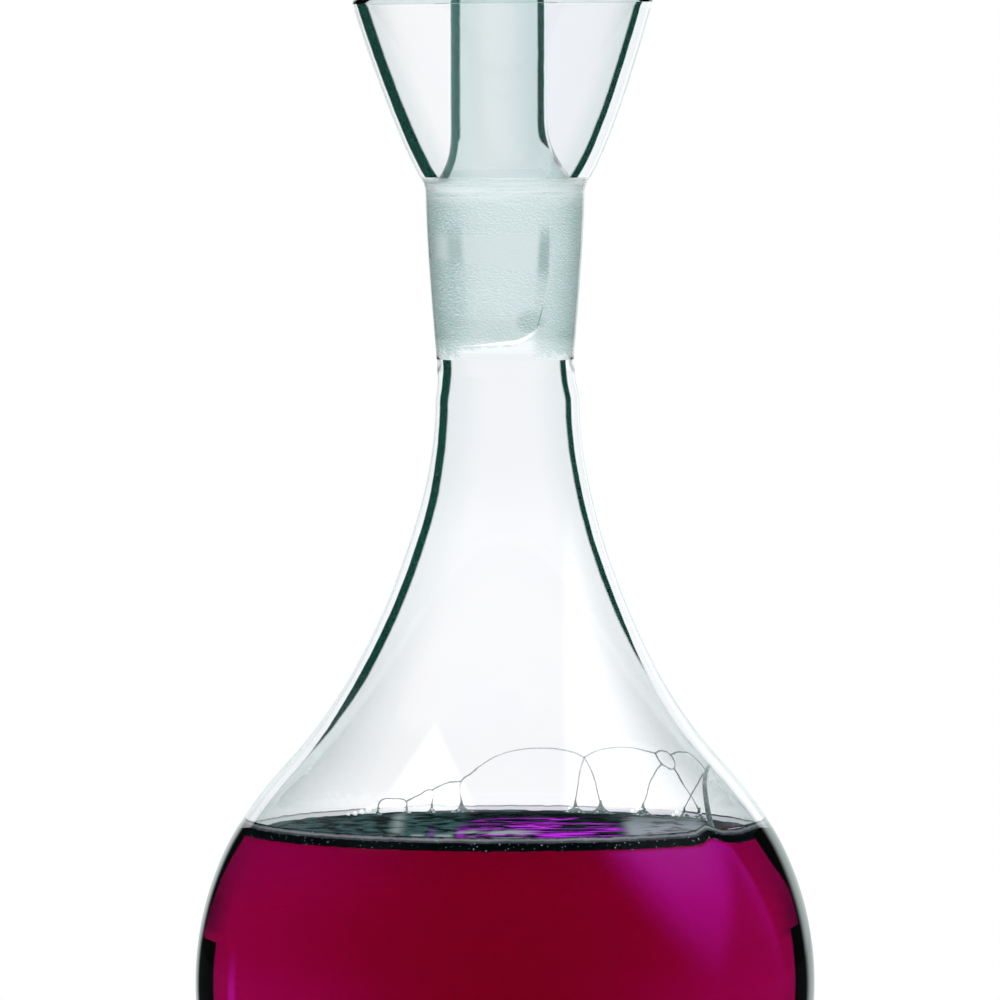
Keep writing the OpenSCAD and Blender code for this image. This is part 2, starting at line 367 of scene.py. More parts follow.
def worked(mesh, modifiers):
    """The mesh after its modifiers, given as (kind, settings). The blank and the tools are removed."""
    blank = in_scene("blank", mesh)
    tools = []
    for kind, settings in modifiers:
        modifier = blank.modifiers.new(kind, kind)
        for key, value in settings.items():
            if isinstance(value, bpy.types.Mesh):
                value = in_scene("tool", value)
                tools.append(value)
            setattr(modifier, key, value)
    bpy.context.view_layer.update()
    graph = bpy.context.evaluated_depsgraph_get()
    made = bpy.data.meshes.new_from_object(blank.evaluated_get(graph))
    for obj in (blank, *tools):
        old = obj.data
        bpy.data.objects.remove(obj)
        bpy.data.meshes.remove(old)
    return made


def cut(tool):
    """A modifier that cuts a tool's form out."""
    return ("BOOLEAN", {"operation": "DIFFERENCE", "solver": "EXACT", "object": tool})


def fuse(tool):
    """A modifier that joins a tool's form on."""
    return ("BOOLEAN", {"operation": "UNION", "solver": "EXACT", "object": tool})


def gathered(name, meshes):
    """Several meshes in one."""
    form = bmesh.new()
    for mesh in meshes:
        form.from_mesh(mesh)
        bpy.data.meshes.remove(mesh)
    return mesh_of(name, form)


def melted(name, meshes, voxel, passes):
    """Overlapping forms run together, with soft fillets where they meet."""
    remesh = ("REMESH", {"mode": "VOXEL", "voxel_size": voxel * MM})
    return worked(gathered(name, meshes), [remesh, ("SMOOTH", {"factor": 0.5, "iterations": passes})])


def block(low, high):
    """A box between two corners."""
    form = bmesh.new()
    bmesh.ops.create_cube(form, size=1)
    size = [(b - a) * MM for a, b in zip(low, high)]
    middle = [(a + b) / 2 * MM for a, b in zip(low, high)]
    matrix = Matrix.Translation(middle) @ Matrix.Diagonal((*size, 1))
    bmesh.ops.transform(form, matrix=matrix, verts=form.verts)
    return mesh_of("block", form)


# Shader nodes

BLACK = (0.0, 0.0, 0.0)
WHITE = (1.0, 1.0, 1.0)
# How much a surface bends light: glass, thin glass, ground faces that touch, and glass against liquid
GLASS_BEND = 1.47
THIN_BEND = 1.12
GROUND_BEND = 1.2
WET_BEND = 1.03
# The side from which light is painted on the grains of the ground joint, in metres
GRIT_LIGHT = (0.00005, 0.0, 0.0001)
# What clear glass, ground glass and wet glass let through in their shadow
CLEAR_SHADOW = (0.93, 0.95, 0.95)
GROUND_SHADOW = (0.85, 0.88, 0.88)
WET_SHADOW = (0.97, 0.97, 0.97)


class Value:
    """A number, vector or colour that changes over a surface: one output of a node."""

    def __init__(self, socket):
        self.socket = socket
        self.tree = socket.id_data

    def __add__(self, other):
        return calc("ADD", self, other)

    def __sub__(self, other):
        return calc("SUBTRACT", self, other)

    def __rsub__(self, other):
        return calc("SUBTRACT", other, self)

    def __mul__(self, other):
        return calc("MULTIPLY", self, other)

    def __truediv__(self, other):
        return calc("DIVIDE", self, other)

    def __pow__(self, other):
        return calc("POWER", self, other)

    def __abs__(self):
        return calc("ABSOLUTE", self)


def add(tree, kind, settings=(), inputs=()):
    """A node with its settings and its inputs, where an input is plain, a Value or a shader's node."""
    made = tree.nodes.new(kind)
    for key, value in dict(settings).items():
        setattr(made, key, value)
    for key, value in dict(inputs).items():
        if isinstance(value, bpy.types.Node):
            value = Value(value.outputs[0])
        if isinstance(value, Value):
            tree.links.new(value.socket, made.inputs[key])
        else:
            made.inputs[key].default_value = value
    return made


def read(tree, kind, output, settings=(), inputs=()):
    """One output of a new node, by its name or its number."""
    return Value(add(tree, kind, settings, inputs).outputs[output])


def tree_of(*values):
    """The tree of the first Value among some values."""
    return next(v.tree for v in values if isinstance(v, Value))


def calc(operation, *values, clamp=False):
    """The output of a Math node."""
    settings = {"operation": operation, "use_clamp": clamp}
    return read(tree_of(*values), "ShaderNodeMath", 0, settings, dict(enumerate(values)))


def ramp(value, low, high, to_low=0.0, to_high=1.0):
    """A smooth step of a value from low to high."""
    inputs = {"Value": value, "From Min": low, "From Max": high, "To Min": to_low, "To Max": to_high}
    settings = {"interpolation_type": "SMOOTHSTEP"}
    return read(value.tree, "ShaderNodeMapRange", "Result", settings, inputs)


def falling(value, low, high):
    """1 below low and 0 above high, with a smooth step between."""
    return ramp(value, low, high, 1.0, 0.0)


def between(value, low, high, soft):
    """1 from low to high, with soft ends."""
    return ramp(value, low - soft, low + soft) * falling(value, high - soft, high + soft)


def most(first, second):
    """The higher of two values."""
    return calc("MAXIMUM", first, second)


def mixed(factor, first, second, how="MIX"):
    """A mix of two colours."""
    settings = {"data_type": "RGBA", "blend_type": how}
    inputs = {0: factor, 6: rgba(first), 7: rgba(second)}
    return read(tree_of(factor, first, second), "ShaderNodeMix", 2, settings, inputs)


def rgba(value):
    """A colour with its alpha, or a Value as it is."""
    return value if isinstance(value, Value) else (*value, 1.0)


def squared(value):
    """The colour that a glass surface needs to let this colour through in one crossing."""
    return tuple(c * c for c in value)


def clouds(where, scale, detail=3.0, distortion=0.0):
    """Noise from 0 to 1, with one scale for each metre, or three for the axes."""
    if isinstance(scale, float):
        scale = (scale, scale, scale)
    mapped = read(where.tree, "ShaderNodeMapping", 0, {}, {"Vector": where, "Scale": scale})
    inputs = {"Vector": mapped, "Scale": 1.0, "Detail": detail, "Distortion": distortion}
    return read(where.tree, "ShaderNodeTexNoise", "Fac", {}, inputs)


def place(tree):
    """The point of the surface in the piece's own frame."""
    return read(tree, "ShaderNodeTexCoord", "Object")


def parts_of(vector):
    """The three numbers of a vector."""
    return [Value(part) for part in add(vector.tree, "ShaderNodeSeparateXYZ", {}, {0: vector}).outputs]


def facing_of(tree):
    """0 where a surface is seen square on, 1 where it is seen edge on."""
    return read(tree, "ShaderNodeLayerWeight", "Facing", {}, {"Blend": 0.5})


def backfacing(tree):
    """1 where a surface is seen from its inside."""
    return read(tree, "ShaderNodeNewGeometry", "Backfacing")


def stored(tree, name):
    """A value stored on the mesh."""
    return read(tree, "ShaderNodeAttribute", "Vector", {"attribute_name": name})


def relief(height, strength, distance):
    """A normal from a height."""
    inputs = {"Height": height, "Strength": strength, "Distance": distance}
    return read(height.tree, "ShaderNodeBump", 0, {}, inputs)


def light_path(tree):
    """The kinds of ray that see a surface, by name."""
    return {ray.name: Value(ray) for ray in add(tree, "ShaderNodeLightPath").outputs}


def principled(tree, values):
    """The shader that every piece has, where a light that it gives is at full strength."""
    if "Emission Color" in values:
        values = {**values, "Emission Strength": 1.0}
    return add(tree, "ShaderNodeBsdfPrincipled", {}, values)


def new_material(name):
    """An empty material and its tree."""
    material = bpy.data.materials.new(name)
    material.use_nodes = True
    material.node_tree.nodes.clear()
    return material, material.node_tree


def finish(material, shader, shadow=None, volume=None):
    """The material with a shader on its output, and with light in its shadow if it is clear."""
    tree = material.node_tree
    if shadow:
        through = add(tree, "ShaderNodeBsdfTransparent", {}, {"Color": rgba(shadow)})
        inputs = {0: light_path(tree)["Is Shadow Ray"], 1: shader, 2: through}
        shader = add(tree, "ShaderNodeMixShader", {}, inputs)
    inputs = {"Surface": shader}
    if volume:
        inputs["Volume"] = volume
    add(tree, "ShaderNodeOutputMaterial", {}, inputs)
    return material


NUMBER = "NodeSocketFloat"
VECTOR = "NodeSocketVector"


def group_tree(name, inputs, outputs):
    """A node group with named sockets, and the Values that it is given."""
    tree = bpy.data.node_groups.new(name, "ShaderNodeTree")
    for label, kind in inputs:
        tree.interface.new_socket(label, in_out="INPUT", socket_type=kind)
    for label, kind in outputs:
        tree.interface.new_socket(label, in_out="OUTPUT", socket_type=kind)
    given = add(tree, "NodeGroupInput")
    return tree, [Value(given.outputs[label]) for label, kind in inputs]


def edge_depth_group():
    """Distance in millimetres from the outline of a round wall, with a slight waver."""
    inputs = [("Facing", NUMBER), ("Edge", VECTOR), ("Place", VECTOR)]
    tree, (facing, edge, where) = group_tree("edge_depth", inputs, [("Depth", NUMBER)])
    radius = parts_of(edge)[0]
    square_on = 1.0 - facing
    across = calc("SQRT", calc("SUBTRACT", 1.0, square_on ** 2.0, clamp=True))
    depth = radius * (1.0 - across)
    waver = clouds(where, 260.0, 4.0) - 0.5
    add(tree, "NodeGroupOutput", {}, {"Depth": depth + waver * 0.22})
    return tree


def edge_depth(tree, group, facing, where):
    """The distance from the outline, in a material."""
    inputs = {"Facing": facing, "Edge": stored(tree, "wall_edge"), "Place": where}
    return read(tree, "ShaderNodeGroup", "Depth", {"node_tree": group}, inputs)


def right_share(x, y):
    """1 on the right of the funnel, -1 on its left."""
    return x / calc("SQRT", x * x + y * y)


def edge_bar(where):
    """How much wider the painted black edge of the wet wall is below its step, which is higher on the
    right.
    """
    x, y, z = parts_of(where)
    right = right_share(x, y)
    step = z - (right * 0.0013 + (SURFACE_Z - 16.7) * MM)
    wide = 1.85 - right * 0.35
    return wide * falling(step, -0.00025, 0.00025) * ramp(z, -0.015, 0.0)


def wall_tone(tree, glass, depth, where, body):
    """Painted tone of a blown wall by its distance from the outline, and how far it is in its margin and
    its line.

    From the outline in come the painted outline, the pale margin of painted reflection, the painted dark
    line and the painted green shade.
    """
    near, far, shade = parts_of(stored(tree, "wall_line"))
    reach, tone_kind = parts_of(stored(tree, "wall_edge"))[1:]
    black = most(tone_kind, 0.0)
    far = far + black * edge_bar(where)
    rise = ramp(depth, near - 0.10, near + 0.10)
    fall = falling(depth, far - 0.24, far + 0.16)
    has_line = ramp(far - near, 0.05, 0.45)
    dark = rise * fall * has_line
    painted = ramp(shade, 0.0, 0.05)
    cast = falling(depth, far, reach) * rise * shade
    shade_tone = mixed(black, squared(glass.shade), squared(glass.wet_shade))
    tone = mixed(cast, body, shade_tone)
    margin = (1.0 - rise) * painted
    tone = mixed(margin, tone, squared(glass.band))
    tone = mixed(ramp(depth, 0.03, 0.22, 0.8, 0.0) * painted, tone, squared(glass.outline))
    thin = most(tone_kind * -1.0, 0.0)
    line_tone = mixed(black, squared(glass.line), BLACK)
    line_tone = mixed(thin, line_tone, squared(glass.pale_line))
    specks = ramp(clouds(where, 1500.0, 2.0), 0.70, 0.74, 0.0, 0.35)
    line_tone = mixed(specks, line_tone, squared((0.25, 0.42, 0.40)))
    return mixed(dark, tone, line_tone), margin, dark


# Heights on the blown glass where its painted lights and tones begin and end, in metres
SURFACE_SHEET_TOP = (0.0652, 0.0664)
PEAK_TOP = 0.0806
STRIP_END = (0.104, 0.119)
FLARE_END = (0.107, 0.122)
LINE_START = (0.076, 0.090)
NECK_START = (0.108, 0.130)
CUP_START = (0.170, 0.172)
WELD_LIGHT = (0.1384, 0.1398)


def flare_glints(where):
    """Painted reflection on the flare's dry front, given as glow: a little all over, a strip and a small
    peak.
    """
    x, y, z = parts_of(where)
    right = right_share(x, y)
    strip = ramp(x, 0.0090, 0.0114) * falling(right, 0.60, 0.82)
    strip = strip * falling(z, *STRIP_END)
    drop = PEAK_TOP - z
    off_peak = x + 0.0116
    peak = ramp(off_peak + drop * 0.7, 0.0, 0.0014) * ramp(drop * 0.5 - off_peak, 0.0, 0.0010)
    dry = ramp(z, *SURFACE_SHEET_TOP) * falling(y, -0.004, 0.0)
    low = ramp(z, *FLARE_END, 0.045, 0.0)
    bright = most(strip, peak) * 0.12
    return dry * (low + bright)


def glass_shader(tree, tone, normal=None, rough=0.0, bend=GLASS_BEND, glow=None, gloss=WHITE):
    """Clear glass of a given tone, with any light that it gives and the tint of its gloss."""
    values = {"Base Color": tone, "Roughness": rough, "IOR": bend, "Transmission Weight": 1.0,
              "Specular Tint": rgba(gloss)}
    if normal:
        values["Normal"] = normal
    if glow:
        values["Emission Color"] = glow
    return principled(tree, values)


def blown_waver(where):
    """Slight waver of a blown surface."""
    return relief(clouds(where, 90.0), 0.04, 0.0004)


def clear_glass(name, glass, group, shank=False):
    """Clear blown glass, with its painted wall lines, shade and reflections, and a slight waver of the
    surface.
    """
    material, tree = new_material(name)
    where = place(tree)
    facing = facing_of(tree)
    depth = edge_depth(tree, group, facing, where)
    inside = backfacing(tree)
    x, z = parts_of(where)[::2]
    bend = THIN_BEND if shank else GLASS_BEND
    body = squared(glass.shank if shank else glass.body)
    square_on = body
    if not shank:
        in_cup = mixed(ramp(x, -0.006, 0.006), square_on, squared(glass.cup))
        square_on = mixed(ramp(z, *NECK_START), square_on, squared(glass.neck))
        square_on = mixed(ramp(z, *CUP_START), square_on, in_cup)
    tone, margin, dark = wall_tone(tree, glass, depth, where, square_on)
    tone = mixed(inside, tone, body)
    normal = blown_waver(where)
    bounce = read(tree, "ShaderNodeFresnel", 0, {}, {"IOR": bend})
    # Painted reflection of the white surroundings in the margin, given as glow
    light = margin * bounce * ramp(facing, 0.78, 0.87, 0.9, 0.12)
    unlit = dark * ramp(z, *LINE_START, 0.35, 1.0)
    glints = flare_glints(where) * (1.0 - unlit)
    # Painted light in the margin at the weld's height
    weld = margin * between(z, *WELD_LIGHT, 0.0007) * 0.5
    light = (light + glints + weld) * (1.0 - inside)
    glow = mixed(light, BLACK, (0.93, 0.96, 1.0))
    shader = glass_shader(tree, tone, normal, 0.0, bend, glow)
    return finish(material, shader, CLEAR_SHADOW)


def inner_glass(name, glass, bend):
    """Inside of a blown wall, which gives back no light of its own."""
    material, tree = new_material(name)
    where = place(tree)
    tone = mixed(clouds(where, 120.0), squared(glass.body), WHITE)
    normal = blown_waver(where)
    return finish(material, glass_shader(tree, tone, normal, 0.0, bend, gloss=BLACK), CLEAR_SHADOW)


# Heights and widths in the ground joint, in metres, with where its painted highlights, shade and light lie
BAND_FOOT = (0.1546, 0.1560)
BAND_HEAD = (0.1604, 0.1616)
BAND_SIDES = (-0.0118, 0.0074)
SMOOTH_BAND = (0.1565, 0.1608)
JOINT_HEAD = (0.1650, 0.1688)
JOINT_END = (0.1706, 0.1709)
SIDES_SOFT_FOOT = (0.1530, 0.1568)
SIDES_SOFT_HEAD = (0.1590, 0.1632)
SIDES_SPAN = (0.1475, 0.1630)
DARK_BLOB = (0.0042, 0.1463)
DARK_BLOB_SIZE = (0.0024, 0.0022)
HOLLOW_SIDE = 0.0076
HOLLOW_BEND = 0.1534
HOLLOW_PALE = (0.1492, 0.1640)
HOLLOW_DARK = (0.1455, 0.1488)
PLUG_FOOT = 0.1427
PLUG_FOOT_SIDES = (-0.0078, 0.0050)
CLEAR_BELOW = (0.1394, 0.1412)
CLEAR_LIGHT = (0.1412, 0.1440)


def socket_glass(glass, group):
    """Outside of the socket, with the ground faces in it: grain with painted light and shade, a smooth
    band, and the plug's hollow in painted dark bars and lines, with painted shade at its sides and painted
    highlights and glints.
    """
    material, tree = new_material("socket_glass")
    where = place(tree)
    x, height = parts_of(where)[::2]
    depth = edge_depth(tree, group, facing_of(tree), where)
    inside = backfacing(tree)
    near, far = parts_of(stored(tree, "wall_line"))[:2]
    patches = clouds(where, (150, 150, 230), 4.0) - 0.5
    level = height + patches * 0.0022

    grit = (2200, 2200, 3500)
    # Painted light and shade on the grains, from the noise's slope towards the lit side
    lit = read(tree, "ShaderNodeVectorMath", 0, {}, {0: where, 1: GRIT_LIGHT})
    slope = clouds(lit, grit, 2.0, 0.9) - clouds(where, grit, 2.0, 0.9)
    grain = calc("ADD", slope * 2.6, 0.5, clamp=True)

    slant = level + x * 0.13
    tall = ramp(slant, *BAND_FOOT) * falling(level, *BAND_HEAD)
    band = tall * between(x, *BAND_SIDES, 0.0009)
    streaks = ramp(clouds(where, (70, 70, 3600), 3.0), 0.35, 0.65)
    top = ramp(level, *JOINT_HEAD)
    # Painted shade towards the outline and on the left side
    tone = mixed(ramp(depth, 0.4, 7.5), glass.frost_edge_shade, glass.frost)
    tone = mixed(ramp(x, -0.012, -0.003, 0.5, 0.0), tone, squared((0.77, 0.86, 0.85)))
    tone = mixed(top * 0.85, tone, mixed(streaks, (0.80, 0.87, 0.88), (0.94, 0.965, 0.97)))
    tone = mixed(band * 0.6, tone, (0.89, 0.94, 0.945))
    # Painted dark bars where the plug's hollow shows its sides
    bar = ramp(depth, near - 0.9, near + 0.3) * falling(depth, far - 0.3, far + 0.9)
    soft = ramp(slant, *SIDES_SOFT_FOOT) * falling(level, *SIDES_SOFT_HEAD)
    strength = soft * ramp(x, -0.004, 0.004, 0.4, 0.62) + 0.15
    bar = bar * strength * between(level, *SIDES_SPAN, 0.0016)
    tone = mixed(bar, tone, (0.36, 0.50, 0.49))
    # A soft dark blob low on the right
    sideways = (x - DARK_BLOB[0]) * (1 / DARK_BLOB_SIZE[0])
    up = (height - DARK_BLOB[1]) * (1 / DARK_BLOB_SIZE[1])
    blob = ramp(sideways ** 2.0 + up ** 2.0, 0.1, 1.4, 0.6, 0.0)
    tone = mixed(blob, tone, (0.52, 0.65, 0.64))

    # Painted thin line along the hollow's right side: a painted highlight above and painted shade below
    hollow = most(HOLLOW_BEND - height, 0.0) * 0.27
    hollow = x + hollow - HOLLOW_SIDE
    hollow = between(hollow, -0.00009, 0.00009, 0.00008)
    tone = mixed(hollow * between(height, *HOLLOW_PALE, 0.0012) * 0.5, tone, WHITE)
    tone = mixed(hollow * between(height, *HOLLOW_DARK, 0.0006) * 0.8, tone, (0.2, 0.31, 0.30))

    hook = most(x - 0.001, 0.0)
    foot = x * 0.085 + hook * hook * 85.0
    foot = height - (foot + PLUG_FOOT)
    reach = between(x, *PLUG_FOOT_SIDES, 0.0012)
    specks = clouds(where, 800.0, 3.0) - 0.5
    clear = falling(foot + specks * 0.002, -0.0008, 0.0) * reach
    below = level + specks * 0.004
    clear = most(clear, falling(below, *CLEAR_BELOW))
    above = x * x * 4.4 + (height + patches * 0.0005)
    clear = most(clear, ramp(above, *JOINT_END))
    contrast = ramp(band, 0.0, 1.0, 0.9, 0.3) * ramp(clear, 0.5, 1.0, 1.0, 0.15)
    tone = mixed(clear * 0.92, tone, (0.93, 0.955, 0.97))
    tone = mixed(contrast, tone, grain, "OVERLAY")
    # Painted highlight along the edge of the plug's foot
    width = ramp(x, -0.007, 0.004, 0.00010, 0.00042)
    white = ramp(width - abs(foot), 0.0, 0.00012)
    tone = mixed(white * reach, tone, WHITE)
    # Painted pale reflection near the outline
    tone = mixed(ramp(depth, 0.08, 0.45, 0.9, 0.0), tone, (0.94, 0.96, 0.96))
    tone = mixed(inside, tone, glass.body)
    tone = mixed(1.0, tone, tone, "MULTIPLY")
    # Painted glints on the grains and painted light on the foot's edge, the clear parts and the top band,
    # given as glow
    sparkle = ramp(grain, 0.66, 0.95) * contrast * 0.16
    light = sparkle + white * reach * 0.32
    light = light + clear * between(height, *CLEAR_LIGHT, 0.0006) * 0.14
    light = light + top * ramp(streaks, 0.0, 1.0, 0.04, 0.13)
    light = light * (1.0 - inside)
    rough = ramp(clear, 0.0, 1.0, 0.32, 0.05) * ramp(depth, 0.1, 0.7, 0.1, 1.0)
    shader = glass_shader(tree, tone, None, rough, glow=mixed(light, BLACK, WHITE))
    return finish(material, shader, GROUND_SHADOW)


def ground_glass():
    """Ground joint face: rough, with fine rings of grinding marks and one smoother band."""
    material, tree = new_material("ground_glass")
    where = place(tree)
    height = parts_of(where)[2]
    rings = clouds(where, (90, 90, 3600), 4.0)
    grit = clouds(where, 5200.0, 2.0)
    marks = rings * 0.55 + grit * 0.45
    tone = mixed(ramp(marks, 0.36, 0.66), squared((0.93, 0.955, 0.95)), squared((0.985, 0.99, 0.99)))
    rough = ramp(between(height, *SMOOTH_BAND, 0.001), 0.0, 1.0, 0.5, 0.22)
    normal = relief(marks, 0.35, 0.0002)
    return finish(material, glass_shader(tree, tone, normal, rough, GROUND_BEND), GROUND_SHADOW)


# Painted glow in the wet wall: heights in metres, and turns in degrees from the front
SHEEN_TOP = 0.0555
SHEEN_LEFT = 23.0
SHEEN_RIGHT = 49.0
SHEEN_END = 57.3
SPIKE_TURNS = (-63.5, -61.0)
WET_END = (0.0585, 0.0591)


def wet_glass(glass, contents):
    """Inside of the wall where liquid lies against it: redder square on, with a painted glow on its right.
    """
    material, tree = new_material("wet_glass")
    where = place(tree)
    x, y, z = parts_of(where)
    facing = ramp(facing_of(tree) ** 0.6, 0.0, 0.62)
    tone = mixed(facing, squared((0.97, 1.0, 0.70)), WHITE)
    tone = mixed(ramp(z, -0.02, -0.005), WHITE, tone)
    tone = mixed(clouds(where, 220.0) * 0.3, tone, squared(glass.body))
    # Painted glow: a sheen with a rim on the right, a spike on the left and a faint purple light towards
    # the sides, all below the liquid's edge
    turn = calc("ARCTAN2", x, y * -1.0) * (180 / math.pi)
    drop = (SHEEN_TOP - z) * 1000.0
    left = turn - (drop * 0.8 + SHEEN_LEFT)
    right = turn - (drop * -0.45 + SHEEN_RIGHT)
    bow = drop * 0.55 + drop * drop * -0.009
    end = turn - (bow + SHEEN_END)
    sheen = ramp(left, -3.0, 11.0) * ramp(right, 0.0, 7.0, 1.0, 0.22)
    rim = ramp(end, -5.0, 0.0) * 0.3
    sheen = (sheen + rim) * falling(end, 0.0, 1.6)
    sheen = sheen * falling(drop, -3.0, 26.0)
    spike = between(turn, *SPIKE_TURNS, 0.8) * ramp(drop, 13.0, 23.0)
    high = ramp(drop, -1.0, 8.0, 0.6, 0.0) + ramp(drop, 13.0, 22.0, 0.35, 1.15)
    flank = ramp(abs(turn), 8.0, 50.0) * high * ramp(z, 0.0, 0.02)
    pulled = ramp(abs(turn - PULL_TURN), 0.0, 5.0, 0.0008, 0.0)
    below = falling(z - pulled, *WET_END)
    light = mixed(flank * below, BLACK, (0.036, 0.0, 0.024))
    light = mixed((sheen + spike) * below, light, contents.glow)
    tone = mixed(below, WHITE, tone)
    shader = glass_shader(tree, tone, None, 0.0, WET_BEND, light, BLACK)
    return finish(material, shader, WET_SHADOW)


def lip_glass():
    """Fire-polished rim, bright all round."""
    material, tree = new_material("lip_glass")
    uneven = clouds(place(tree), 300.0)
    tone = mixed(uneven, squared((0.80, 0.86, 0.865)), squared((0.92, 0.945, 0.95)))
    return finish(material, glass_shader(tree, tone, None, 0.05, THIN_BEND), CLEAR_SHADOW)


def fused_face():
    """End of a tube where it is melted onto the next one, which can't be seen."""
    material, tree = new_material("fused_face")
    return finish(material, principled(tree, {"Base Color": (0.9, 0.95, 0.94, 1), "Alpha": 0.0}))


def glass_materials(glass, contents):
    """A material for each surface of the glass."""
    group = edge_depth_group()
    return {
        OUTER: clear_glass("clear_glass", glass, group),
        INNER: inner_glass("inner_glass", glass, GLASS_BEND),
        HOLLOW: inner_glass("hollow_glass", glass, THIN_BEND),
        GROUND: ground_glass(),
        WET: wet_glass(glass, contents),
        SOCKET: socket_glass(glass, group),
        LIP: lip_glass(),
        SHANK: clear_glass("shank_glass", glass, group, True),
        FUSED: fused_face(),
    }


# Glass body

JOINT_LENGTH = 29.0
SOCKET_SMALL_R = 10.55
SOCKET_LARGE_R = 12.0
CUP_BOTTOM_Z = CUP_HIGH.z - 29.7
JOINT_Z = CUP_BOTTOM_Z - JOINT_LENGTH
WELD_Z = CUP_LOW.z
WAIST_R = 11.65
NECK_R = 12.2
NECK_Z = WELD_Z - 5.0
GLOBE_R = GLOBE_HIGH.x
GLOBE_Z = 34.004
FLARE_ANGLE = 46.0
SHOULDER_REACH = 14
SHOULDER_PASSES = 30
TUBE_R = 6.5
TUBE_FILLET_R = 10.0
TUBE_END_Z = GLOBE_LOW.z
SURFACE_Z = LIQUID_HIGH.z - 1.0
NO_LINE = (0, 0, 0)
TUBE_LINE = (1.3, 2.1)


def globe_outer():
    """Outside of the neck, its flare, the globe and the drain tube, from the weld down."""
    start = math.radians(FLARE_ANGLE)
    shoulder = (GLOBE_R * math.cos(start), GLOBE_Z + GLOBE_R * math.sin(start))
    pull = (shoulder[0] - 15 * math.sin(start), shoulder[1] + 15 * math.cos(start))
    fillet_r = TUBE_R + TUBE_FILLET_R
    low = math.degrees(math.acos(fillet_r / (GLOBE_R + TUBE_FILLET_R)))
    fillet_z = GLOBE_Z - (GLOBE_R + TUBE_FILLET_R) * math.sin(math.radians(low))
    return softened(joined(
        line((WAIST_R, WELD_Z), (WAIST_R, WELD_Z - 0.3)),
        ease((WAIST_R, WELD_Z - 0.3), (NECK_R, NECK_Z), 12),
        cubic((NECK_R, NECK_Z), (NECK_R, NECK_Z - 20), pull, shoulder, 60),
        arc((0, GLOBE_Z), GLOBE_R, FLARE_ANGLE, -low, 90),
        arc((fillet_r, fillet_z), TUBE_FILLET_R, 180 - low, 180, 16),
        line((TUBE_R, fillet_z), (TUBE_R, TUBE_END_Z), 4),
    ), shoulder[1], SHOULDER_REACH, SHOULDER_PASSES)


def side_share(point):
    """1 on the left of the funnel, -1 on its right."""
    return -point[0] / (math.hypot(point[0], point[1]) or 1)


# How far the hand-blown neck and cup stand off the axis, as (height, offset) in millimetres
DRIFT = [(75, 0), (104, 0.25), (122, 0.42), (133, 0.42), (141, 0), (171, 0), (201, -0.42)]
RIM_LIFT = 0.92
RIM_TILT = 0.009


def drift(point, surface):
    """Moves a point of the glass to where the hand-blown neck and cup stand."""
    x, y, z = point
    for (z0, x0), (z1, x1) in zip(DRIFT, DRIFT[1:]):
        if z0 <= z <= z1:
            x += x0 + (x1 - x0) * step_between(z0, z1, z)
    lift = (RIM_LIFT + RIM_TILT * x) * step_between(CUP_BOTTOM_Z + 4, CUP_HIGH.z - 2, z)
    return (x, y, z + lift)


def line_about(middle, width):
    """Near and far edge of a line."""
    return (middle - width / 2, middle + width / 2)


def neck_line(point):
    """Painted edge lines of the waist and the neck."""
    side = side_share(point)
    straight = step_between(112, 128, point[2])
    middle = 1.93 - (0.23 + 0.25 * side) * straight
    middle += 0.17 * (1 + side) * step_between(135.5, 138.5, point[2])
    return line_about(middle, 1.26 * (1 + 0.18 * side))


def globe_line(point, surface, radius):
    """Edge values of the neck, flare and globe for the painted line and shade: dry above the contents and
    with a painted black edge below.
    """
    if surface != OUTER:
        return (*NO_LINE, radius, 1, 0)
    z = point[2]
    side = side_share(point)
    if z < TUBE_END_Z + 16:
        return (*TUBE_LINE, 0.4, radius, 4, 0)
    if z < SURFACE_Z + 0.6:
        drop = SURFACE_Z - z
        left_far = 1.95 - 0.6 * step_between(0, 10, drop) - 0.4 * step_between(8, 17, drop)
        right_far = 3.7 - 1.8 * step_between(1, 11, drop)
        far = right_far + (left_far - right_far) * (1 + side) / 2
        cast = 0.2 + 0.75 * step_between(2, 13, drop) * (1 - step_between(15.5, 17.5, drop))
        return (-1, far, cast, radius, far + 4.5, 1)
    near, far = neck_line(point)
    fade_z = 75 - 7 * side
    kept = step_between(fade_z, fade_z + 19, z)
    middle, width = (near + far) / 2, (far - near) * kept
    lower = 1 - step_between(66, 100, z)
    reach = 8.5 + 5 * lower + 3 * max(side, 0)
    return (*line_about(middle, width), 0.34 + 0.26 * lower, radius, reach, 0)


def make_globe(glass, materials):
    """Neck, flare, globe and drain tube, blown in one."""
    outside = globe_outer()
    inside = inset(outside, glass.wall / MM)
    inside[0] = (inside[0][0], WELD_Z)
    inside[-1] = (inside[-1][0], TUBE_END_Z)
    wet_z = SURFACE_Z + MENISCUS_RISE - 0.3
    rows = rows_of(outside) + [(r, z, WET if z < wet_z else INNER) for r, z in inside[::-1]]
    mesh = turned("glass_globe", [rows], glass.segments, materials, globe_line, shift=drift)
    piece("glass_globe", mesh, "glass", ["globe"])


def cup_line(point, surface, radius):
    """Edge values of the cup and the socket, whose ground part places painted dark bars for the hollow's
    sides instead.
    """
    if surface not in (OUTER, SOCKET):
        return (*NO_LINE, radius, 1, 0)
    side = side_share(point)
    if surface == SOCKET:
        return (*line_about(5.55 - 1.55 * side, 1.5), 0, radius, 1, 0)
    if point[2] < JOINT_Z:
        return (*neck_line(point), 0.34, radius, 7.5, 0)
    return (*line_about(2.0 - 0.4 * side, 1.48 + 0.34 * side), 0.45, radius, 7.0, 0)


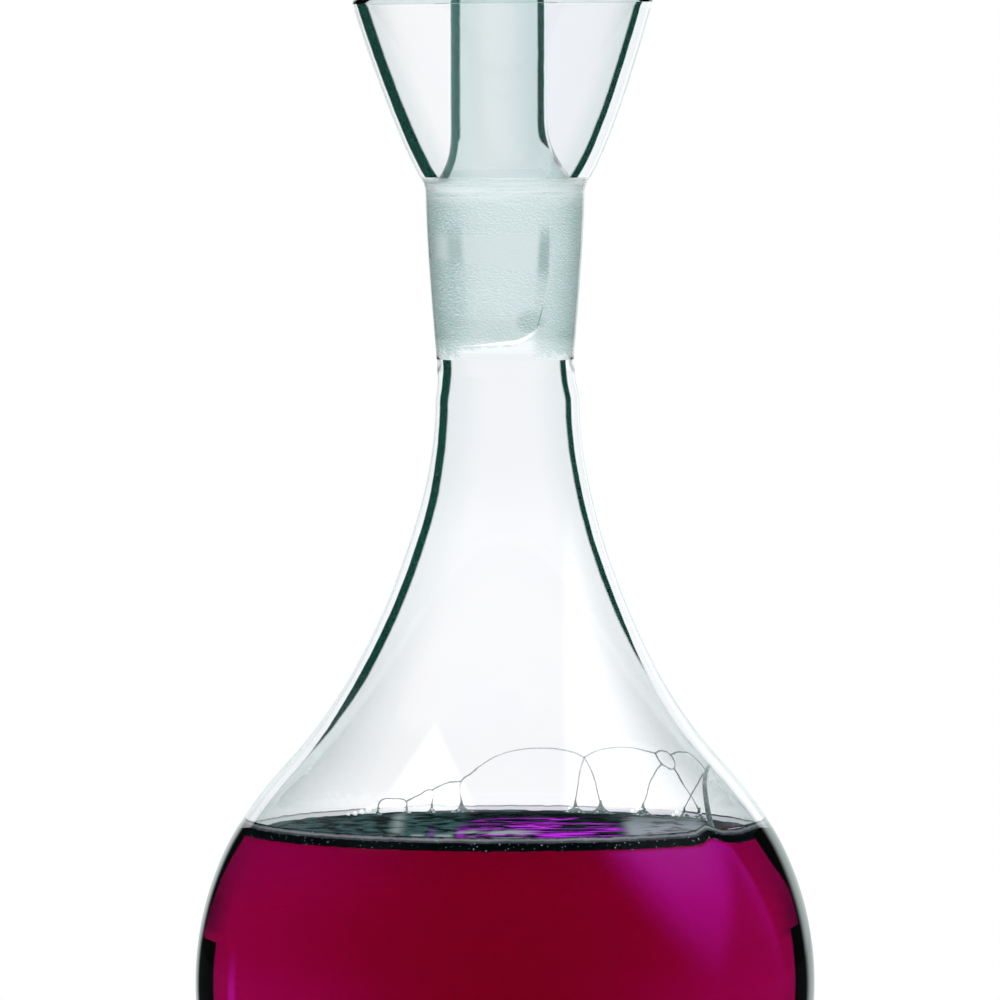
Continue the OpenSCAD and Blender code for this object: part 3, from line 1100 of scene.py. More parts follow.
def make_cup(glass, materials):
    """Cup mouth with its rolled rim, and the ground socket under it."""
    lip = glass.lip / MM
    rim_r = CUP_HIGH.x
    rim_z = CUP_HIGH.z - lip
    foot = (14.4, CUP_BOTTOM_Z + 0.2)
    top = (13.45, CUP_BOTTOM_Z - 2.5)
    bore_r = WAIST_R - glass.wall / MM
    rim = arc((rim_r - lip, rim_z), lip, 90, 12, 9)
    cup = joined(
        [(rim_r, rim_z)],
        cubic((rim_r, rim_z), (rim_r - 2.4, rim_z - 8.7), (foot[0] + 2.65, foot[1] + 4.24), foot, 40),
    )
    socket = joined(
        cubic(foot, (13.8, foot[1] - 1), (13.5, top[1] + 1), top, 8)[1:],
        cubic(top, (13.35, top[1] - 8), (12.3, JOINT_Z + 6.2), (WAIST_R + 0.03, JOINT_Z - 0.9), 28),
    )
    waist = line((WAIST_R, JOINT_Z - 1.6), (WAIST_R, WELD_Z), 4)
    throat = ease((bore_r, WELD_Z), (SOCKET_SMALL_R - 0.01, JOINT_Z - 0.05), 10)
    face = line((SOCKET_SMALL_R, JOINT_Z), (SOCKET_LARGE_R, CUP_BOTTOM_Z), 24)
    brim_r = rim_r - 2 * lip
    bowl = joined(cubic((SOCKET_LARGE_R, CUP_BOTTOM_Z), (14.94, CUP_BOTTOM_Z + 4.35),
                        (brim_r - 3.1, rim_z - 10.6), (brim_r, rim_z), 40))
    rows = rows_of(rim, LIP) + rows_of(cup) + rows_of(socket, SOCKET) + rows_of(waist)
    rows += rows_of(throat, INNER) + rows_of(face, GROUND) + rows_of(bowl[1:], INNER)
    rows += rows_of(arc((rim_r - lip, rim_z), lip, 168, 99, 7), LIP)
    mesh = turned("glass_cup_and_socket", [rows], glass.segments, materials, cup_line, shift=drift)
    piece("glass_cup_and_socket", mesh, "glass", ["cup_and_socket"])


BARREL_Z = (PLUG_LOW.z + PLUG_HIGH.z) / 2
BARREL_HALF = BARREL_HIGH.x
BORE_R = 7.0
BORE_SLOPE = 0.1
BARREL_WALL = 2.2
BEAD = 0.9
BEAD_LENGTH = 3.0
PORT_R = 2.2
ARM_FLARE = 1.6
STEM_R = STEM_HIGH.y
STEM_BORE_R = 2.5
STEM_TOP_Z = STEM_HIGH.z
ARM_REACH = BORE_R + BARREL_WALL - 1.2
BARREL_VOXEL = 0.34
BARREL_PASSES = 10
ROUND_R = 0.8
ARM_OVERLAP = 2.0


def bore_radius(x):
    """Radius of the stopcock's tapered bore."""
    return BORE_R + BORE_SLOPE * x


def across(point, surface=OUTER):
    """Moves a form turned about the X axis to the stopcock's axis."""
    return (point[0], point[1], point[2] + BARREL_Z)


def make_barrel(glass, materials):
    """Tapered stopcock barrel across the drain, melted onto its two arms and then bored."""
    plain = {OUTER: materials[OUTER]}
    bead_x = BARREL_HALF - BEAD_LENGTH
    skin = [bore_radius(x) + BARREL_WALL for x in (BARREL_HALF, bead_x, -bead_x, -BARREL_HALF)]
    shell = joined(
        [(0, BARREL_HALF)],
        arc((skin[0] + BEAD - ROUND_R, BARREL_HALF - ROUND_R), ROUND_R, 90, 0, 6),
        ease((skin[0] + BEAD, BARREL_HALF - ROUND_R), (skin[1], bead_x), 8),
        line((skin[1], bead_x), (skin[2], -bead_x), 12),
        ease((skin[2], -bead_x), (skin[3] + BEAD, ROUND_R - BARREL_HALF), 8),
        arc((skin[3] + BEAD - ROUND_R, ROUND_R - BARREL_HALF), ROUND_R, 0, -90, 6),
        [(0, -BARREL_HALF)],
    )
    upper = joined(
        [(0, TUBE_END_Z + ARM_OVERLAP)],
        line((TUBE_R, TUBE_END_Z + ARM_OVERLAP), (TUBE_R, TUBE_END_Z)),
        ease((TUBE_R, TUBE_END_Z), (TUBE_R + ARM_FLARE, BARREL_Z + ARM_REACH), 10),
        [(TUBE_R + ARM_FLARE, BARREL_Z), (0, BARREL_Z)],
    )
    lower = joined(
        [(0, BARREL_Z), (STEM_R + ARM_FLARE, BARREL_Z)],
        ease((STEM_R + ARM_FLARE, BARREL_Z - ARM_REACH), (STEM_R, STEM_TOP_Z), 10),
        line((STEM_R, STEM_TOP_Z), (STEM_R, STEM_TOP_Z - ARM_OVERLAP)),
        [(0, STEM_TOP_Z - ARM_OVERLAP)],
    )
    blanks = [turned("shell", [rows_of(shell)], 96, plain, along="X", shift=across)]
    blanks += [turned("arm", [rows_of(arm)], 96, plain) for arm in (upper, lower)]
    skin_mesh = melted("glass_stopcock_barrel", blanks, BARREL_VOXEL, BARREL_PASSES)

    reach = BARREL_HALF + 1.5
    bore = [(0, reach), (bore_radius(reach), reach), (bore_radius(-reach), -reach), (0, -reach)]
    tube_bore = TUBE_R - glass.wall / MM
    port_in = joined(
        [(0, TUBE_END_Z + ARM_OVERLAP + 1)],
        line((tube_bore, TUBE_END_Z + ARM_OVERLAP + 1), (tube_bore, TUBE_END_Z)),
        ease((tube_bore, TUBE_END_Z), (PORT_R, BARREL_Z + BORE_R + 1.6), 12),
        [(PORT_R, BARREL_Z), (0, BARREL_Z)],
    )
    port_out = joined(
        [(0, BARREL_Z), (PORT_R, BARREL_Z), (PORT_R, BARREL_Z - BORE_R - BARREL_WALL)],
        line((STEM_BORE_R, STEM_TOP_Z), (STEM_BORE_R, STEM_TOP_Z - ARM_OVERLAP - 1)),
        [(0, STEM_TOP_Z - ARM_OVERLAP - 1)],
    )
    tools = [turned("bore", [rows_of(bore)], 128, plain, along="X", shift=across)]
    tools += [turned("port", [rows_of(port)], 64, plain) for port in (port_in, port_out)]
    tools.append(block((-12, -12, TUBE_END_Z), (12, 12, TUBE_END_Z + 8)))
    tools.append(block((-12, -12, STEM_TOP_Z - 8), (12, 12, STEM_TOP_Z)))
    mesh = worked(skin_mesh, [cut(tool) for tool in tools])

    ends = (TUBE_END_Z * MM, STEM_TOP_Z * MM)
    surfaces = []
    for face in mesh.polygons:
        flat = abs(face.normal.z) > 0.99 and min(abs(face.center.z - z) for z in ends) < 1e-5
        surfaces.append(FUSED if flat else OUTER)
    mesh.materials.clear()
    give_materials(mesh, surfaces, materials)
    smooth(mesh)
    values = []
    for vertex in mesh.vertices:
        x, y, z = vertex.co / MM
        off_axis = math.hypot(y, z - BARREL_Z)
        off_arm = math.hypot(x, y)
        arm_bore = tube_bore if z > BARREL_Z else STEM_BORE_R
        bored = off_axis < bore_radius(x) + 0.2 or off_arm < arm_bore + 0.1
        on_arm = step_between(9.4, 11.5, abs(z - BARREL_Z))
        radius = off_axis + (off_arm - off_axis) * on_arm
        values.append((*NO_LINE, radius, 1, 0) if bored else (*TUBE_LINE, 0.4, radius, 4.0, 0))
    write_edges(mesh, values)
    piece("glass_stopcock_barrel", mesh, "glass", ["stopcock_barrel"])


TIP_SLOPE = math.tan(math.radians(30))
TIP_LENGTH = 12


def stem_line(point, surface, radius):
    """Edge values of the stem."""
    if surface != OUTER:
        return (*NO_LINE, radius, 1, 0)
    return (*TUBE_LINE, 0.4, radius, 3.2, 0)


def stem_bevel(point, surface):
    """Cuts the stem's tip on a slope, longest on the right."""
    x, y, z = point
    share = min(max(1 - (z - STEM_LOW.z) / TIP_LENGTH, 0), 1)
    return (x, y, z + share * (STEM_R - x) * TIP_SLOPE)


def make_stem(materials):
    """Thick-walled stem with a bevelled, fire-polished tip."""
    low = STEM_LOW.z
    soft = 0.45
    outside = joined(
        line((STEM_R, STEM_TOP_Z), (STEM_R, low + TIP_LENGTH), 12),
        line((STEM_R, low + TIP_LENGTH), (STEM_R, low + soft), 12),
        arc((STEM_R - soft, low + soft), soft, 0, -90, 5),
    )
    inside = joined(
        arc((STEM_BORE_R + soft, low + soft), soft, -90, -180, 5),
        line((STEM_BORE_R, low + soft), (STEM_BORE_R, low + TIP_LENGTH), 12),
        line((STEM_BORE_R, low + TIP_LENGTH), (STEM_BORE_R, STEM_TOP_Z), 12),
    )
    inside[0] = (inside[0][0], inside[0][1] - 0.002)
    rows = rows_of(outside) + rows_of(inside, INNER)
    mesh = turned("glass_drain_stem", [rows], 96, materials, stem_line, shift=stem_bevel)
    piece("glass_drain_stem", mesh, "glass", ["drain_stem"])


# Stopper

HEAD_R = STOPPER_HIGH.x
HEAD_Z = STOPPER_HIGH.z - HEAD_R
SHANK_R = 8.2
SHANK_WALL = 1.3
SHANK_FOOT_Z = CUP_BOTTOM_Z + 10
SHANK_TOP_Z = CUP_HIGH.z + 6
THROAT_R = 7.0
HOLLOW_R = 8.0
FOOT_ROUND = 2.4
PLUG_GAP = 0.05
PLUG_TOP_Z = CUP_BOTTOM_Z - 0.8


def stopper_line(point, surface, radius):
    """Edge values of the stopper's shank and head."""
    if surface not in (OUTER, SHANK) or point[2] < PLUG_TOP_Z + 0.5:
        return (*NO_LINE, radius, 1, 0)
    side = side_share(point)
    kept = max(side, step_between(SHANK_FOOT_Z - 5.5, SHANK_FOOT_Z - 3, point[2]))
    near = 0.31 - 0.19 * side
    return (near, near + (1.42 + 0.24 * side) * max(kept, 0), 0.5, radius, 8, -0.5 - 0.5 * side)


def make_stopper(glass, materials):
    """Hollow stopper: ball head, tubular shank and a closed ground plug."""
    def plug_radius(z):
        return SOCKET_SMALL_R + (z - JOINT_Z) / 20 - PLUG_GAP

    def lean(point, surface):
        share = 1 if surface in (INNER, HOLLOW) else step_between(PLUG_TOP_Z, SHANK_FOOT_Z, point[2])
        return (point[0] - share * glass.lean / MM, point[1], point[2])

    foot_z = STOPPER_LOW.z
    foot_r = plug_radius(foot_z + FOOT_ROUND)
    seat_r = plug_radius(PLUG_TOP_Z)
    throat = math.degrees(math.acos((SHANK_R + THROAT_R) / (HEAD_R + THROAT_R)))
    throat_centre = (SHANK_R + THROAT_R, SHANK_TOP_Z)
    head = joined(
        [(0, STOPPER_HIGH.z)],
        arc((0, HEAD_Z), HEAD_R, 90, -throat, 60)[1:],
        arc(throat_centre, THROAT_R, 180 - throat, 180, 12),
    )
    shank = joined(
        line((SHANK_R, SHANK_TOP_Z), (SHANK_R, SHANK_FOOT_Z), 12)[1:],
        cubic((SHANK_R, SHANK_FOOT_Z), (SHANK_R, CUP_BOTTOM_Z + 3.2), (seat_r - 1.3, PLUG_TOP_Z + 2.4),
              (seat_r, PLUG_TOP_Z), 24),
    )
    face = line((seat_r, PLUG_TOP_Z), (foot_r, foot_z + FOOT_ROUND), 24)[1:]
    foot = arc((foot_r - FOOT_ROUND, foot_z + FOOT_ROUND), FOOT_ROUND, 0, -90, 10)[1:]
    foot = joined(foot, [(0, foot_z)])
    skin = rows_of(head) + rows_of(shank, SHANK) + rows_of(face, GROUND) + rows_of(foot, SHANK)

    shank_in = SHANK_R - SHANK_WALL
    head_in = HEAD_R - SHANK_WALL
    floor_z = foot_z + 2.6
    hollow = joined(
        [(0, floor_z)],
        arc((HOLLOW_R - FOOT_ROUND, floor_z + FOOT_ROUND), FOOT_ROUND, -90, 0, 8),
        line((HOLLOW_R, floor_z + FOOT_ROUND), (HOLLOW_R, PLUG_TOP_Z - 3), 8),
        cubic((HOLLOW_R, PLUG_TOP_Z - 3), (HOLLOW_R + 1.6, PLUG_TOP_Z + 2),
              (shank_in, CUP_BOTTOM_Z + 3), (shank_in, SHANK_FOOT_Z), 20),
        line((shank_in, SHANK_FOOT_Z), (shank_in, SHANK_TOP_Z), 12),
        arc(throat_centre, THROAT_R + SHANK_WALL, 180, 180 - throat, 12),
        arc((0, HEAD_Z), head_in, -throat, 90, 50)[:-1],
        [(0, HEAD_Z + head_in)],
    )
    loops = [skin, [(r, z, HOLLOW if z < SHANK_TOP_Z else INNER) for r, z in hollow]]
    mesh = turned("glass_stopper", loops, glass.segments, materials, stopper_line, shift=lean)
    piece("glass_stopper", mesh, "stopper", ["stopper"])


class FUNNEL_OT_glass(bpy.types.Operator):
    """Build the blown glass body and the stopper"""

    bl_idname = "funnel.glass"
    bl_label = "Glass"

    def execute(self, context):
        glass = context.scene.funnel_glass
        materials = glass_materials(glass, context.scene.funnel_contents)
        make_globe(glass, materials)
        make_cup(glass, materials)
        make_barrel(glass, materials)
        make_stem(materials)
        make_stopper(glass, materials)
        return {"FINISHED"}


# Contents

def liquid_material(contents):
    """Clear crimson liquid, coloured by its depth."""
    material, tree = new_material("red_liquid")
    normal = relief(clouds(place(tree), 60.0), 0.03, 0.0004)
    shader = glass_shader(tree, rgba(WHITE), normal, 0.0, WET_BEND, gloss=BLACK)
    dye = {"Color": rgba(contents.dye), "Density": contents.density}
    volume = add(tree, "ShaderNodeVolumeAbsorption", {}, dye)
    return finish(material, shader, WHITE, volume)


# Painted reflections in the surface's sheet, as stretches along x with their soft ends, in metres
GLINT_SLOTS = ((-0.0157, -0.0136, 0.0005), (-0.0117, -0.0088, 0.0006))
GLINT_COLUMN = (-0.0192, -0.0174, 0.0010)
GLINT_FRONT = (-0.008, 0.004, 0.003)
STREAK_PATCHES = ((-0.0124, -0.0122, 0.0008), (-0.0080, -0.0068, 0.0005))
STREAK_FIELD = (-0.007, 0.0195, 0.002)
GREY_REFLECTION_SIDE = (0.0205, 0.0338, 0.0012)
DARK_RIGHT = (0.0335, 0.0355)
# Where the foam on the left ends
FOAM_END = (-0.0085, -0.0065)


def surface_reflection_material(contents):
    """Sheet of painted reflection on the liquid's surface: dark, with painted ripples, glints, grey and
    purple streaks, seen flat on and clear from above.
    """
    material, tree = new_material("liquid_surface_reflection")
    where = place(tree)
    x, y = parts_of(where)[:2]
    ripples = clouds(where, (260, 130, 1), 4.0, 0.6)
    drifts = clouds(where, (90, 60, 1), 3.0, 0.8)
    waves = clouds(where, (42, 100, 1), 2.0, 1.0)
    crest = abs(waves - 0.5)
    broad = ramp(y, -0.016, 0.006, 0.075, 0.024)
    crest = falling(crest / broad, 0.35, 0.9)
    tone = mixed(ramp(ripples, 0.40, 0.60), contents.skin, contents.ripple)
    slots = most(*[between(x, *slot) for slot in GLINT_SLOTS])
    slots = slots * between(y, -0.030, -0.020, 0.003)
    column = between(x, *GLINT_COLUMN) * ramp(ripples, 0.3, 0.6, 0.2, 0.8)
    slots = most(slots, column)
    tone = mixed(slots * 0.8, tone, contents.glint)
    streak_patches = most(*[between(x, *streak_patch) for streak_patch in STREAK_PATCHES])
    streak_patches = streak_patches * between(y, -0.036, -0.010, 0.012) * 0.7
    tone = mixed(streak_patches, tone, contents.streak)
    middle = between(x, *STREAK_FIELD)
    tone = mixed(middle * 0.85, tone, contents.skin)
    lit = crest * middle * falling(y, 0.018, 0.028) * ramp(x, -0.004, 0.003, 0.4, 1.0)
    tone = mixed(lit, tone, contents.streak)
    front = ramp(drifts, 0.47, 0.56) * between(x, *GLINT_FRONT)
    tone = mixed(front * ramp(y, -0.014, -0.004, 0.9, 0.0), tone, contents.glint)
    right = between(x, *GREY_REFLECTION_SIDE) * ramp(ripples, 0.34, 0.52, 0.35, 1.0)
    tone = mixed(right * ramp(y, -0.010, 0.034, 1.0, 0.4), tone, contents.grey_reflection)
    tone = mixed(ramp(x, *DARK_RIGHT), tone, contents.skin)
    cover = ramp(facing_of(tree), 0.55, 0.93, 0.06, 1.0)
    values = {"Base Color": tone, "Roughness": 0.35, "Specular IOR Level": 0.0, "Alpha": cover,
              "Normal": relief(ripples, 0.2, 0.0005)}
    return finish(material, principled(tree, values))


def edge_material(contents):
    """Banded edge of the liquid on the glass, in painted light and shade: a pale line of painted
    highlight, a grey and a black line of painted shade, and a few specks.
    """
    material, tree = new_material("liquid_edge")
    where = place(tree)
    level = parts_of(stored(tree, "wall_line"))[0]
    waver = clouds(where, 650.0, 4.0) - 0.5
    level = level + waver * 0.4
    uneven = clouds(where, (120, 120, 900), 3.0)
    grey = mixed(ramp(uneven, 0.35, 0.65), (0.085, 0.10, 0.11), (0.15, 0.17, 0.18))
    tone = mixed(ramp(level, 0.02, 0.25), contents.skin, grey)
    pale = between(level, 0.48, 0.80, 0.12)
    tone = mixed(pale * ramp(uneven, 0.3, 0.6, 0.6, 0.95), tone, contents.glint)
    tone = mixed(ramp(level, 0.88, 0.96), tone, contents.skin)
    x, y = parts_of(where)[:2]
    # A paler painted band at the back, palest on the left under the foam
    back = ramp(y, 0.0, 0.006) * falling(x, 0.030, 0.034) * ramp(level, 0.70, 0.78)
    back_tone = mixed(falling(x, *FOAM_END), (0.30, 0.33, 0.36), (0.62, 0.66, 0.67))
    tone = mixed(back, tone, back_tone)
    specks = ramp(clouds(where, 2400.0, 1.0), 0.70, 0.75, 0.0, 0.8)
    tone = mixed(specks, tone, (0.75, 0.8, 0.8))
    hidden = backfacing(tree)
    fade = ramp(level, -1.25, -1.05) * (1.0 - hidden)
    values = {"Base Color": tone, "Roughness": 0.4, "Specular IOR Level": 0.0, "Alpha": fade}
    return finish(material, principled(tree, values))


def rise_material(contents):
    """The liquid's rise at the glass, seen from inside: painted shade at its foot and a painted pale glow
    above.
    """
    material, tree = new_material("liquid_rise")
    where = place(tree)
    level = parts_of(stored(tree, "wall_line"))[0]
    uneven = clouds(where, (160, 160, 20), 4.0)
    tone = mixed(ramp(uneven, 0.4, 0.65), contents.skin, contents.ripple)
    foot = falling(level - uneven * 0.5, -0.02, 0.08)
    under_foam = falling(parts_of(where)[0], *FOAM_END)
    top = between(level, 0.9, 1.0, 0.05) * ramp(under_foam, 0.0, 1.0, 0.30, 0.08)
    dark = most(foot, top)
    pale = mixed(under_foam, (0.70, 0.71, 0.80), (0.86, 0.89, 0.90))
    values = {
        "Base Color": mixed(dark, BLACK, tone),
        "Roughness": 0.4,
        "Specular IOR Level": 0.0,
        "Emission Color": mixed(dark, pale, BLACK),
        "Alpha": ramp(dark, 0.0, 1.0, 0.75, 1.0),
    }
    return finish(material, principled(tree, values))


def bubble_material(contents):
    """Beads and wet feet of the foam: painted shade below, and a painted highlight given as glow where
    they stand up.
    """
    material, tree = new_material("foam_bead")
    where = place(tree)
    level = parts_of(where)[2] - SURFACE_Z * MM
    uneven = clouds(where, 1600.0) - 0.5
    # Painted highlight on the upper part, painted shade below
    lit = ramp(level + uneven * 0.0012, -0.0002, 0.0003)
    tone = mixed(lit, contents.ripple, (0.93, 0.95, 0.95))
    rim = ramp(facing_of(tree), 0.55, 0.95)
    tone = mixed(rim, tone, contents.foam)
    bright = lit * (1.0 - rim)
    values = {
        "Base Color": tone,
        "Roughness": 0.2,
        "Emission Color": mixed(bright, BLACK, (0.5, 0.52, 0.52)),
        "Alpha": ramp(facing_of(tree), 0.3, 0.9, 0.75, 0.95),
    }
    return finish(material, principled(tree, values))


# Heights on the bubbles' borders, in metres
BORDER_FEET = (0.0608, 0.0624)
BORDER_FADE = (0.0615, 0.0690)


def border_material(contents):
    """Wet borders where the bubbles' walls meet the glass, darker and with painted glints at their feet.
    """
    material, tree = new_material("foam_border")
    where = place(tree)
    x, y, height = parts_of(where)
    uneven = clouds(where, 500.0)
    low = falling(height, *BORDER_FEET)
    tone = mixed(ramp(uneven, 0.35, 0.7), contents.foam, (0.5, 0.58, 0.57))
    front = falling(y, -0.001, 0.0)
    dark = most(low * 0.95, front * ramp(uneven, 0.4, 0.6, 0.9, 0.55))
    tone = mixed(dark, tone, contents.ripple)
    # Painted glints at the feet
    glints = ramp(clouds(where, 1300.0), 0.56, 0.62) * low
    tone = mixed(glints, tone, (0.9, 0.93, 0.93))
    high = ramp(height, *BORDER_FADE, 0.95, ramp(x, 0.022, 0.026, 0.38, 0.85))
    high = most(high, front * 0.95)
    cover = ramp(uneven, 0.25, 0.6, 0.6, 1.0) * high
    values = {"Base Color": tone, "Roughness": 0.15, "Specular IOR Level": 0.1, "Alpha": cover}
    return finish(material, principled(tree, values))


def cell_material():
    """Stretched walls of the bubbles, with the light that they catch from behind painted as a thin white
    glow.
    """
    material, tree = new_material("foam_cell")
    uneven = clouds(place(tree), 240.0)
    values = {
        "Base Color": rgba(BLACK),
        "Specular IOR Level": 0.0,
        "Emission Color": mixed(uneven, (0.97, 0.98, 1.0), WHITE),
        "Alpha": ramp(uneven, 0.3, 0.7, 0.35, 0.5),
    }
    return finish(material, principled(tree, values))


def inner_wall(glass, reach=0.0):
    """Inside of the globe, from the weld down, or a little further into the wall."""
    return inset(globe_outer(), glass.wall / MM - reach)


def wall_radius(wall, z):
    """Inside radius of the globe at a height."""
    for (r0, z0), (r1, z1) in zip(wall, wall[1:]):
        if z1 <= z <= z0:
            return r0 + (r1 - r0) * (z - z0) / ((z1 - z0) or 1)
    raise ValueError(f"height {z} is outside the globe")


MENISCUS_RISE = 1.0
MENISCUS_WIDTH = 2.6
# Thickness of the sheet of painted reflection on the surface
SURFACE_SHEET = 0.06
# Where a bubble on the front wall pulls the liquid's edge up: degrees from the front, and millimetres
PULL_TURN = 51
PULL_UP = 0.95


def meniscus(edge_r, lift=0.0, steps=10):
    """The surface's rise at the glass, from its flat part out to the wall."""
    points = []
    for i in range(steps + 1):
        t = i / steps
        points.append((edge_r - MENISCUS_WIDTH * (1 - t), SURFACE_Z + lift + MENISCUS_RISE * t ** 2.2))
    return points


def make_liquid(glass, contents):
    """The liquid, from its curved-up edge down into the drain tube."""
    wall = inner_wall(glass, contents.overlap / MM)
    top_z = SURFACE_Z + MENISCUS_RISE
    side = [p for p in wall if LIQUID_LOW.z + 1.5 < p[1] < top_z - 0.05]
    end_r = wall[-1][0]
    foot = joined(arc((end_r - 1.5, LIQUID_LOW.z + 1.5), 1.5, 0, -90, 6), [(0, LIQUID_LOW.z)])
    top = [(0, SURFACE_Z)] + meniscus(wall_radius(wall, top_z))
    rows = rows_of(joined(top, side, foot))
    mesh = turned("liquid", [rows], glass.segments, {OUTER: liquid_material(contents)})
    piece("liquid", mesh, "glass", ["red_liquid"])


def make_surface(glass, contents):
    """The sheet of painted reflection on the surface, and the banded edge of painted light and shade that
    it makes against the glass.
    """
    wall = inner_wall(glass)
    flat_r = wall_radius(wall, SURFACE_Z) - MENISCUS_WIDTH
    disc = joined(
        [(0, SURFACE_Z + SURFACE_SHEET)],
        line((1, SURFACE_Z + SURFACE_SHEET), (flat_r, SURFACE_Z + SURFACE_SHEET), 24),
        arc((flat_r, SURFACE_Z + SURFACE_SHEET / 2), SURFACE_SHEET / 2, 90, -90, 4),
        [(0, SURFACE_Z)],
    )
    film = {OUTER: surface_reflection_material(contents)}
    mesh = turned("liquid_surface_reflection", [rows_of(disc)], glass.segments, film)
    piece("liquid_surface_reflection", mesh, "glass")

    gap, thick, skirt = 0.03, 0.12, 1.8
    drop = MENISCUS_RISE + skirt
    heights = [SURFACE_Z + MENISCUS_RISE - i * drop / 16 for i in range(17)]
    outer = [(wall_radius(wall, z) - gap, z) for z in heights]
    back = [(r - thick, z) for r, z in outer if z < SURFACE_Z - 0.2][::-1]
    rise = meniscus(outer[0][0] - 0.02, SURFACE_SHEET)
    under = joined(outer, back, [(rise[0][0] + 0.05, SURFACE_Z - 0.02)])
    rows = rows_of(under) + rows_of(rise[:-1], INNER)

    def level(point, surface, radius):
        return (point[2] - SURFACE_Z, 0, 0, radius, 1, 0)

    def lifted(point, surface):
        x, y, z = point
        turn = math.degrees(math.atan2(x, -y))
        lift = PULL_UP * math.exp(-((turn - PULL_TURN) / 3) ** 2)
        lift -= 0.3 * math.exp(-((turn - PULL_TURN - 11) / 6) ** 2)
        r = math.hypot(x, y)
        grow = (r + wall_radius(wall, z + lift) - wall_radius(wall, z)) / r
        return (x * grow, y * grow, z + lift)

    materials = {OUTER: edge_material(contents), INNER: rise_material(contents)}
    mesh = turned("liquid_edge", [rows], glass.segments, materials, level, shift=lifted)
    piece("liquid_edge", mesh, "glass")


# Borders of the bubbles on the back wall, as (x, height) in millimetres
FOAM_BORDERS = [
    [(-7.6, 60.1), (-7.6, 61.6), (-7.7, 65.2), (-6.1, 66.3), (-3.4, 68.0), (-0.5, 69.5), (2.9, 70.4),
     (6.0, 70.7), (9.2, 70.6), (12.0, 70.1), (13.9, 69.3)],
    [(13.9, 69.3), (16.1, 70.6), (19.2, 71.5), (22.3, 71.7), (24.7, 71.4), (26.3, 71.2)],
    [(26.3, 71.2), (27.4, 71.9), (28.9, 71.4), (29.5, 69.0), (28.4, 68.9), (27.1, 69.8), (26.3, 71.2)],
    [(28.9, 71.4), (30.5, 72.3), (32.6, 72.0), (34.0, 70.6), (34.5, 69.9)],
    [(13.9, 69.3), (13.1, 66.6), (12.6, 63.6), (12.3, 61.8), (12.1, 60.1)],
    [(13.9, 69.3), (15.5, 66.4), (16.3, 63.6), (16.7, 61.8), (17.1, 60.1)],
    [(27.3, 69.3), (26.5, 68.2), (25.4, 66.1), (24.7, 63.6), (24.1, 61.8), (23.7, 60.1)],
    [(29.5, 69.0), (30.9, 66.8), (32.2, 64.8), (33.1, 63.2), (33.8, 61.8), (34.4, 60.1)],
    [(34.4, 68.9), (32.8, 65.2), (31.9, 63.2), (31.3, 61.8), (30.8, 60.1)],
    [(-22.3, 60.1), (-22.2, 61.2), (-21.7, 62.5), (-19.7, 62.8), (-17.3, 62.2), (-17.2, 61.2),
     (-17.2, 60.1)],
    [(-17.3, 62.2), (-15.4, 63.1), (-12.8, 64.0), (-12.8, 61.4), (-12.8, 60.1)],
    [(-12.8, 64.0), (-10.3, 65.0), (-7.7, 65.2)],
    [(-22.0, 61.1), (-20.8, 60.65), (-18.8, 60.6), (-17.4, 61.3)],
    [(-17.0, 61.3), (-14.8, 61.4), (-12.9, 61.5)],
    [(-12.6, 61.5), (-11.0, 61.3), (-9.4, 60.8), (-7.8, 61.4)],
]
# Border of the bubble on the front wall
FRONT_BORDER = [(34.3, 60.7), (33.9, 62.0), (33.4, 64.2), (33.0, 66.7), (32.9, 68.3), (33.1, 69.6),
                (33.6, 70.5), (34.2, 70.8)]
# Feet that the borders spread on the surface, as (x, half width, height)
FOAM_FEET = [(-22.2, 0.8, 1.0), (-17.2, 0.9, 1.2), (-12.8, 1.1, 1.4), (-7.6, 2.0, 2.0),
             (12.35, 2.2, 2.0), (16.75, 2.6, 2.2), (24.15, 2.4, 2.0), (31.3, 1.8, 1.8), (33.85, 2.0, 2.0)]
# Outlines of the bubbles' stretched walls, just inside their borders
FOAM_CELLS = [
    [(-22.1, 60.1), (-21.7, 62.2), (-19.7, 62.6), (-17.5, 62.0), (-17.4, 60.1)],
    [(-17.1, 60.1), (-17.1, 62.2), (-15.4, 62.9), (-13.0, 63.7), (-13.0, 60.1)],
    [(-12.6, 60.1), (-12.6, 64.0), (-10.3, 64.9), (-7.8, 65.1), (-7.8, 60.1)],
    [(17.3, 60.1), (16.5, 63.5), (15.7, 66.8), (14.2, 69.4), (16.1, 70.4), (19.2, 71.3), (22.3, 71.5),
     (25.5, 71.1), (27.0, 69.4), (25.5, 66.8), (24.5, 63.5), (23.5, 60.1)],
    [(24.0, 60.1), (24.8, 63.5), (25.6, 66.3), (26.8, 68.5), (28.2, 69.0), (30.5, 67.0), (31.8, 64.9),
     (31.4, 63.0), (30.6, 60.1)],
]
# Beads on the back wall, as (x, height above the surface, radius)
FOAM_BEADS = [
    (-27.3, 0.25, 0.34), (-26.2, 0.4, 0.40), (-25.0, 0.65, 0.48), (-23.8, 1.0, 0.58), (-22.8, 1.5, 0.55),
    (11.3, 0.7, 0.30), (12.0, 1.0, 0.36), (12.6, 0.6, 0.32), (11.7, 0.3, 0.26), (22.3, 0.6, 0.35),
    (23.1, 1.0, 0.38), (23.9, 0.8, 0.40), (22.9, 0.3, 0.30), (24.5, 0.3, 0.32), (29.3, 0.4, 0.30),
    (30.0, 0.9, 0.36), (30.6, 0.5, 0.30), (33.6, 0.6, 0.30), (34.1, 0.9, 0.30),
]
BORDER_R = 0.13
FOOT_DEPTH = 0.25
CELL_THICK = 0.08


